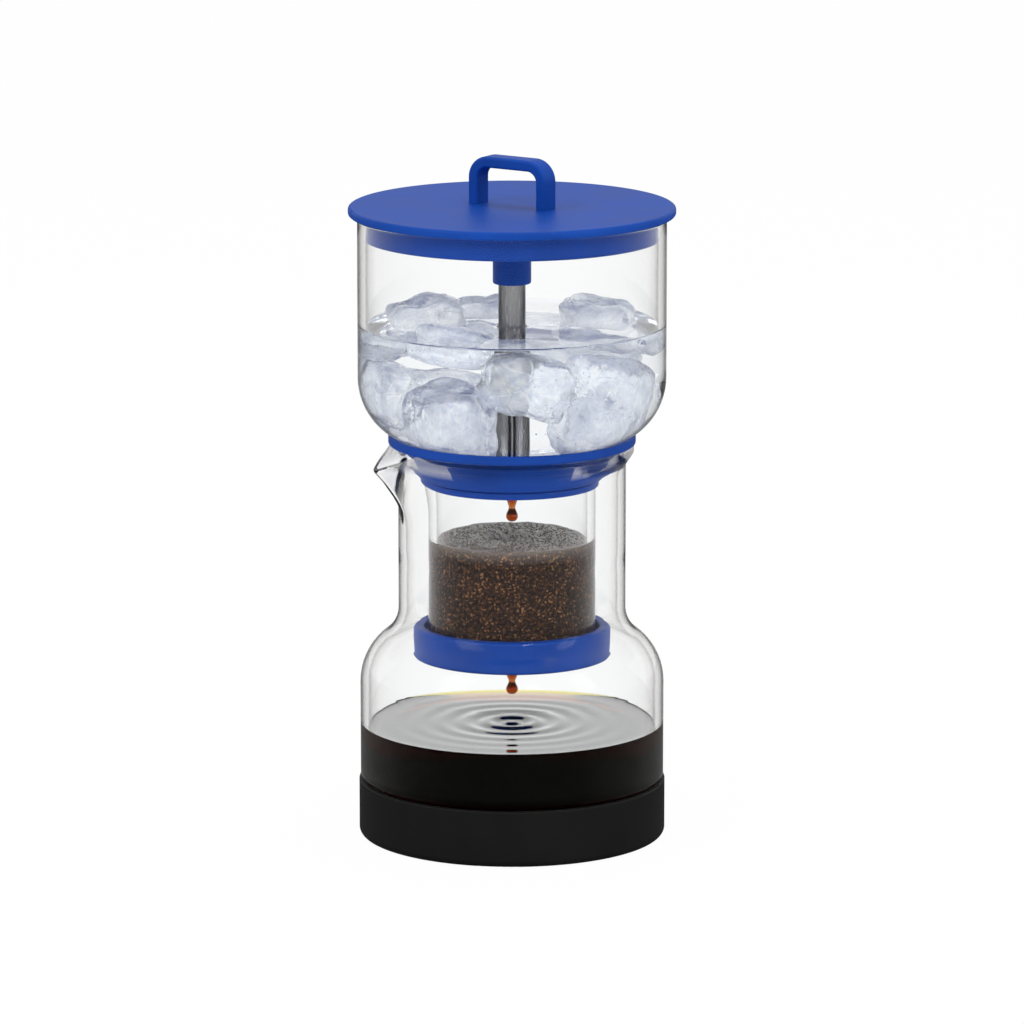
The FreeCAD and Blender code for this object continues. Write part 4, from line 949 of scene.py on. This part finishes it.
@dataclass
class Drop:
    """A drop that hangs from a nozzle's tip."""

    name: str
    node: str
    body: Body
    top_z: float
    long: float = 9.9
    bulb_z: float = 2.3
    bulb_r: float = 2.35
    neck: Point = (5.6, 1.3)
    mouth: Point = (9.95, 2.5)

    def radius(self, up: float) -> float:
        """Radius of the drop at a height over its underside."""
        if up < self.bulb_z:
            return self.bulb_r * math.sqrt(1 - ((self.bulb_z - up) / self.bulb_z) ** 2)
        neck_z, neck_r = self.neck
        mouth_z, mouth_r = self.mouth
        if up <= neck_z:
            return self.bulb_r + (neck_r - self.bulb_r) * smoothstep(self.bulb_z, neck_z, up)
        return neck_r + (mouth_r - neck_r) * smoothstep(neck_z, mouth_z, up)

    def build(self, coffee: bpy.types.Material) -> None:
        """Make the drop, with a neck that widens to the nozzle's tip."""
        low = self.top_z - self.long
        steps = 39
        outline = [(0.0, low)]
        for step in range(1, steps + 1):
            up = self.long * step / steps
            outline.append((self.radius(up), low + up))
        outline.append((0.0, self.top_z))
        piece = lathe(self.name, outline, coffee, 48)
        stand_in(piece, self.body, "coffee", self.node)


# Water tank


@dataclass
class WaterTank:
    """The upper vessel with its water and melting ice."""

    outer_r: float = 60.2
    inner_r: float = 57.2
    low_z: float = 156.6
    floor_z: float = 159.6
    top_z: float = 246.3
    water_z: float = 203.0
    outer_corner: float = 26.0
    inner_corner: float = 23.0
    hole_r: float = 8.0
    stem_r: float = 5.2
    valve_r: float = 6.2
    valve_z: float = 162.2
    grommet_r: float = 10.3
    grommet_z: float = 160.8
    squareness: float = 4.6
    swell: float = 1.13
    ice_gap: float = 0.8
    bubble_gap: float = 0.3
    blocks: tuple = (
        ((-34.0, 14.0, 200.5), (26.0, 20.0, 18.0), (10.0, -8.0, 22.0)),
        ((-21.5, -24.0, 199.5), (24.0, 17.0, 12.0), (-8.0, 6.0, -24.0)),
        ((5.0, -28.5, 186.0), (27.0, 17.0, 19.0), (8.0, 10.0, 8.0)),
        ((-21.0, -23.5, 173.0), (25.0, 22.0, 20.0), (12.0, -10.0, 30.0)),
        ((31.0, -17.0, 178.0), (23.0, 27.0, 28.0), (-10.0, 14.0, -32.0)),
        ((33.5, 14.0, 201.5), (26.0, 20.0, 15.0), (6.0, 8.0, -20.0)),
        ((-39.0, -3.0, 180.5), (17.0, 23.0, 15.0), (8.0, 6.0, 12.0)),
        ((-12.0, 36.0, 199.0), (20.0, 17.0, 14.0), (5.0, -6.0, 12.0)),
        ((12.5, 33.5, 183.0), (24.0, 19.0, 16.0), (-6.0, 8.0, -14.0)),
        ((-18.0, 24.0, 173.5), (24.0, 21.0, 18.0), (8.0, 6.0, 30.0)),
        ((26.0, 19.0, 170.0), (17.0, 15.0, 8.5), (4.0, 5.0, 12.0)),
    )

    def make_glass(self, glass: bpy.types.Material) -> None:
        """Build the tank's glass, with the hole for the valve in its bottom."""
        outline = rounded(((self.hole_r, self.low_z, 0), (self.outer_r, self.low_z, self.outer_corner),
                           (self.outer_r, self.top_z, 1.3), (self.inner_r, self.top_z, 1.3),
                           (self.inner_r, self.floor_z, self.inner_corner),
                           (self.hole_r, self.floor_z, 0)), 4)
        piece = lathe("tank_with_valve_hole", split_long(outline, 8), glass, 288)
        stand_in(piece, Body.TANK, "clear_glass", "tank_glass")

    def make_water(self, water: bpy.types.Material) -> None:
        """Fill the tank; the water climbs a little at the wall and at the stem."""
        wall, stem = self.inner_r + 0.06, self.stem_r
        floor, below = self.floor_z - 0.04, self.water_z - 2.0
        outline = rounded(((self.grommet_r, floor, 0), (wall, floor, 23.02), (wall, below, 0),
                           (stem, below, 0), (stem, self.valve_z, 0), (self.valve_r, self.valve_z, 0),
                           (self.valve_r, self.grommet_z, 0), (self.grommet_r, self.grommet_z, 0)), 4)
        cut = outline.index((stem, below))
        top = []
        steps = 120
        for step in range(steps + 1):
            across = wall + (stem - wall) * step / steps
            climb = 1.4 * math.exp(-(wall - across) / 1.5) + 1.1 * math.exp(-(across - stem) / 1.2)
            top.append((across, self.water_z - 0.5 + climb))
        piece = lathe("water_in_tank", outline[:cut - 1] + top + outline[cut + 1:], water, 224)
        stand_in(piece, Body.TANK, "water", "water")

    def make_ice(self, ice: bpy.types.Material) -> None:
        """Build the ice: blocks melted round, dented and pitted."""
        verts, faces = [], []
        for number, (middle, edges, turns) in enumerate(self.blocks):
            turn = Euler([math.radians(angle) for angle in turns], "XYZ").to_matrix()
            half = Vector(edges) / 2
            base = len(verts)
            grid, cells = {}, 15
            for axis in range(3):
                for way in (-1, 1):
                    for i in range(cells):
                        for j in range(cells):
                            ring = []
                            for di, dj in ((0, 0), (1, 0), (1, 1), (0, 1)):
                                spot = [0, 0, 0]
                                spot[axis] = way * cells
                                spot[(axis + 1) % 3] = 2 * (i + di) - cells
                                spot[(axis + 2) % 3] = 2 * (j + dj) - cells
                                key = tuple(spot)
                                if key not in grid:
                                    grid[key] = base + len(grid)
                                    verts.append(self.melted(Vector(key) / cells, half, turn,
                                                             Vector(middle), number))
                                ring.append(grid[key])
                            faces.append(tuple(ring if way > 0 else reversed(ring)))
        piece = new_piece("melting_ice", verts, faces, ice, 180)
        stand_in(piece, Body.TANK, "ice", "ice_cubes")

    def melted(self, spot: Vector, half: Vector, turn: Matrix, middle: Vector, number: int) -> Vector:
        """Where a point of a block's cube lies once the block has melted.

        Args:
            spot: The point on a cube from -1 to 1.
            half: Half edge lengths of the block.
            turn: How the block is turned.
            middle: The block's middle.
            number: The block's number, which seeds its dents.

        Returns:
            The place in metres.
        """
        power = self.squareness
        size = sum(abs(value) ** power for value in spot) ** (1 / power)
        rounder = spot / size
        seed = Vector((number * 7.3, number * 3.1, 1.7))
        dent = noise.noise(rounder * 1.3 + seed) * 0.16 + noise.noise(rounder * 3.1 + seed) * 0.07
        dent += noise.noise(rounder * 7.5 + seed) * 0.022
        swell = rounder * (self.swell + dent)
        place = turn @ Vector((swell.x * half.x, swell.y * half.y, swell.z * half.z)) + middle
        across = math.hypot(place.x, place.y)
        limit = self.inner_r - self.ice_gap
        corner = self.inner_corner
        drop = self.floor_z + corner - place.z
        if drop > 0:
            limit -= corner - math.sqrt(max(0.0, corner ** 2 - drop ** 2))
        if across > limit:
            place.x *= limit / across
            place.y *= limit / across
        place.z = max(place.z, self.floor_z + 0.5)
        return place * MM

    def make_bubbles(self, air: bpy.types.Material) -> None:
        """Cling small air bubbles to the tank's wall under the water."""
        verts, faces = [], []
        angles = 96
        corner = self.inner_corner - self.bubble_gap
        for up in (168.5, 180, 190, 201):
            across = self.inner_r - self.bubble_gap
            drop = self.floor_z + self.inner_corner - up
            if drop > 0:
                across -= corner - math.sqrt(corner ** 2 - drop ** 2)
            verts += [round_spot(across, math.tau * step / angles, up) for step in range(angles)]
        for base in range(0, 3 * angles, angles):
            for step in range(angles):
                after = (step + 1) % angles
                faces.append((base + after, base + step, base + angles + step, base + angles + after))
        carrier = new_piece("bubble_carrier", verts, faces, air)
        piece = scattered("water_bubbles", carrier, air, density=26000, size=0.00042,
                          flatness=0.8, sides=2, seed=41)
        stand_in(piece, Body.TANK, "water")

    def build(self, glass: bpy.types.Material, water: bpy.types.Material, ice: bpy.types.Material,
              air: bpy.types.Material) -> None:
        """Make the tank's pieces."""
        self.make_glass(glass)
        self.make_water(water)
        self.make_ice(ice)
        self.make_bubbles(air)


# Filter mesh


@dataclass
class FilterMesh:
    """The woven steel disc under the grounds."""

    radius: float = 29.2
    low_z: float = 74.55
    pitch: float = 1.35
    wire: float = 0.11

    def build(self, steel: bpy.types.Material) -> None:
        """Weave wires both ways: a geometry node tree repeats one wire along a line."""
        verts, edges = [], []
        count = int(self.radius / self.pitch)
        for way in (0, 1):
            for row in range(-count, count + 1):
                aside = row * self.pitch
                half = math.sqrt(max(0.0, self.radius ** 2 - aside ** 2))
                steps = max(2, int(half * 2 / self.pitch * 2))
                for step in range(steps + 1):
                    along = -half + 2 * half * step / steps
                    wave = math.cos(along * math.pi / self.pitch) * (1 if (row + way) % 2 else -1)
                    spot = (along, aside) if way else (aside, along)
                    verts.append((spot[0] * MM, spot[1] * MM, (self.low_z + wave * self.wire * 0.7) * MM))
                    if step:
                        edges.append((len(verts) - 2, len(verts) - 1))
        mesh = bpy.data.meshes.new("wire_lines")
        mesh.from_pydata(verts, edges, [])
        carrier = bpy.data.objects.new("wire_lines", mesh)
        bpy.context.scene.collection.objects.link(carrier)
        recipe = Recipe("woven_wire", {"Wire radius": self.wire * MM})
        line = recipe.node("MeshToCurve", {}, {0: recipe.given()})
        section = recipe.node("CurvePrimitiveCircle", {},
                              {"Resolution": 5, "Radius": recipe.given("Wire radius")})
        wires = recipe.node("CurveToMesh", {}, {0: line, 1: section, "Fill Caps": True})
        piece = recipe.grow("woven_filter", wires, steel, carrier)
        stand_in(piece, Body.FILTER_CUP, "steel", "filter_mesh")


# Studio


@dataclass
class Studio:
    """Floor, lamps, surroundings and camera."""

    lens: float = 253.1
    distance: float = 2.820
    elevation: float = 11.65
    look_z: float = 0.1285
    bounces: int = 24

    def make_camera(self) -> None:
        """Stand the camera where the object is seen from."""
        rise = math.radians(self.elevation)
        data = bpy.data.cameras.new("camera")
        data.lens = self.lens
        data.sensor_width = 36.0
        data.clip_end = 100.0
        camera = bpy.data.objects.new("camera", data)
        aim = Vector((0, 0, self.look_z))
        camera.location = aim + Vector((0, -math.cos(rise), math.sin(rise))) * self.distance
        camera.rotation_euler = (aim - camera.location).to_track_quat("-Z", "Y").to_euler()
        bpy.context.scene.collection.objects.link(camera)
        bpy.context.scene.camera = camera

    def make_floor(self) -> None:
        """Lay the floor."""
        half = 14.0
        corners = [(-half, -half, 0), (half, -half, 0), (half, half, 0), (-half, half, 0)]
        floor = new_piece("floor", corners, [(0, 1, 2, 3)], StudioFloor().make())

    def make_lamp(self, name: str, place: tuple, size: tuple, power: float) -> None:
        """Hang a soft lamp that faces the object."""
        data = bpy.data.lights.new(name, "AREA")
        data.shape = "RECTANGLE"
        data.size, data.size_y = size
        data.energy = power
        lamp = bpy.data.objects.new(name, data)
        lamp.location = place
        lamp.rotation_euler = (Vector((0, 0, 0.13)) - lamp.location).to_track_quat("-Z", "Y").to_euler()
        bpy.context.scene.collection.objects.link(lamp)

    def make_surroundings(self) -> None:
        """Fill the room with plain light, white where it is seen."""
        world = bpy.data.worlds.new("studio_room")
        world.use_nodes = True
        world.node_tree.nodes.clear()
        room = Graph(world.node_tree, "ShaderNode")
        camera = room.node("LightPath", output="Is Camera Ray")
        through = room.node("LightPath", output="Is Transmission Ray")
        seen = camera.at_least(through)
        soft = room.node("Background", {}, {"Color": (1, 1, 1, 1), "Strength": 0.72})
        white = room.node("Background", {}, {"Color": (1, 1, 1, 1), "Strength": 1.0})
        both = room.node("MixShader", {}, {0: seen, 1: soft, 2: white})
        room.node("OutputWorld", {}, {"Surface": both})
        bpy.context.scene.world = world

    def build(self) -> None:
        """Make the studio."""
        self.make_camera()
        self.make_floor()
        self.make_surroundings()
        self.make_lamp("lamp_left", (-1.5, -1.3, 1.5), (0.9, 1.4), 16)
        self.make_lamp("lamp_right", (1.7, -0.9, 1.2), (0.6, 1.3), 9)
        self.make_lamp("lamp_top", (0.1, 0.5, 2.2), (1.4, 1.0), 12)
        self.make_lamp("lamp_spark", (0.55, -1.9, 1.5), (0.35, 0.35), 7)
        scene = bpy.context.scene
        scene.view_settings.view_transform = "Standard"
        scene.cycles.max_bounces = self.bounces
        scene.cycles.transmission_bounces = self.bounces
        scene.cycles.transparent_max_bounces = self.bounces


# Main


def dress_solids() -> None:
    """Give every carried-over solid its own finish."""
    blue = Moulded("blue_silicone", srgb(9, 58, 142), srgb(13, 64, 154), 0.46, specular=0.18)
    lid = Moulded("blue_plastic", srgb(10, 61, 146), srgb(14, 67, 158), 0.46, 3200, 0.00002, 0.12)
    boot = Moulded("boot_silicone", srgb(13, 13, 14), srgb(17, 17, 18), 0.6, 2200, 0.00003, 0.2)
    steel = Metal("brushed_steel", srgb(164, 163, 164), srgb(138, 137, 138))
    brass = Metal("turned_brass", srgb(204, 172, 104), srgb(176, 142, 80), 0.3, (1, 1, 8))
    clear = ClearRubber()
    table = {
        blue: ("collar_seal", "filter_cup", "tank_grommet", "lid_ring"),
        lid: ("lid_disc", "handle", "drive_boss", "drip_nozzle", "lock_nut"),
        boot: ("base_boot",),
        steel: ("stem_tube", "valve_body", "valve_needle", "mesh_frame", "handle_screws"),
        brass: ("thread_bush",),
        clear: ("chamber_gasket", "valve_seat", "nozzle_washer"),
    }
    for finish, nodes in table.items():
        material = finish.make()
        for node in nodes:
            dress(node, material)


def main() -> None:
    """Build and dress the maker, then the studio round it."""
    logging.basicConfig(level=logging.INFO, format="%(message)s")
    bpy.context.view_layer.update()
    glass = ClearGlass().make()
    coffee = Liquid("coffee", (0.962, 0.915, 0.02, 1), 1500, sheen=(0.03, 0.03, 0.03, 1),
                    mirror_z=0.0440, mirror_r=0.0567).make()
    drip = Liquid("coffee_drip", (0.75, 0.40, 0.02, 1), 1300).make()
    water = Liquid("water", tint=(0.97, 0.985, 1.0, 1)).make()
    air = Liquid("bubble_air", ior=0.78).make()
    grounds = Grounds().make()
    dress_solids()
    Carafe().build(glass, coffee)
    BrewChamber().build(glass, grounds)
    Drop("drop_over_grounds", "valve_drop", Body.TANK, 135.0).build(drip)
    Drop("drop_over_coffee", "filter_drop", Body.FILTER_CUP, 65.4).build(drip)
    WaterTank().build(glass, water, Ice().make(), air)
    FilterMesh().build(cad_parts["mesh_frame"].material_slots[0].material)
    Studio().build()


if __name__ == "__main__":
    main()
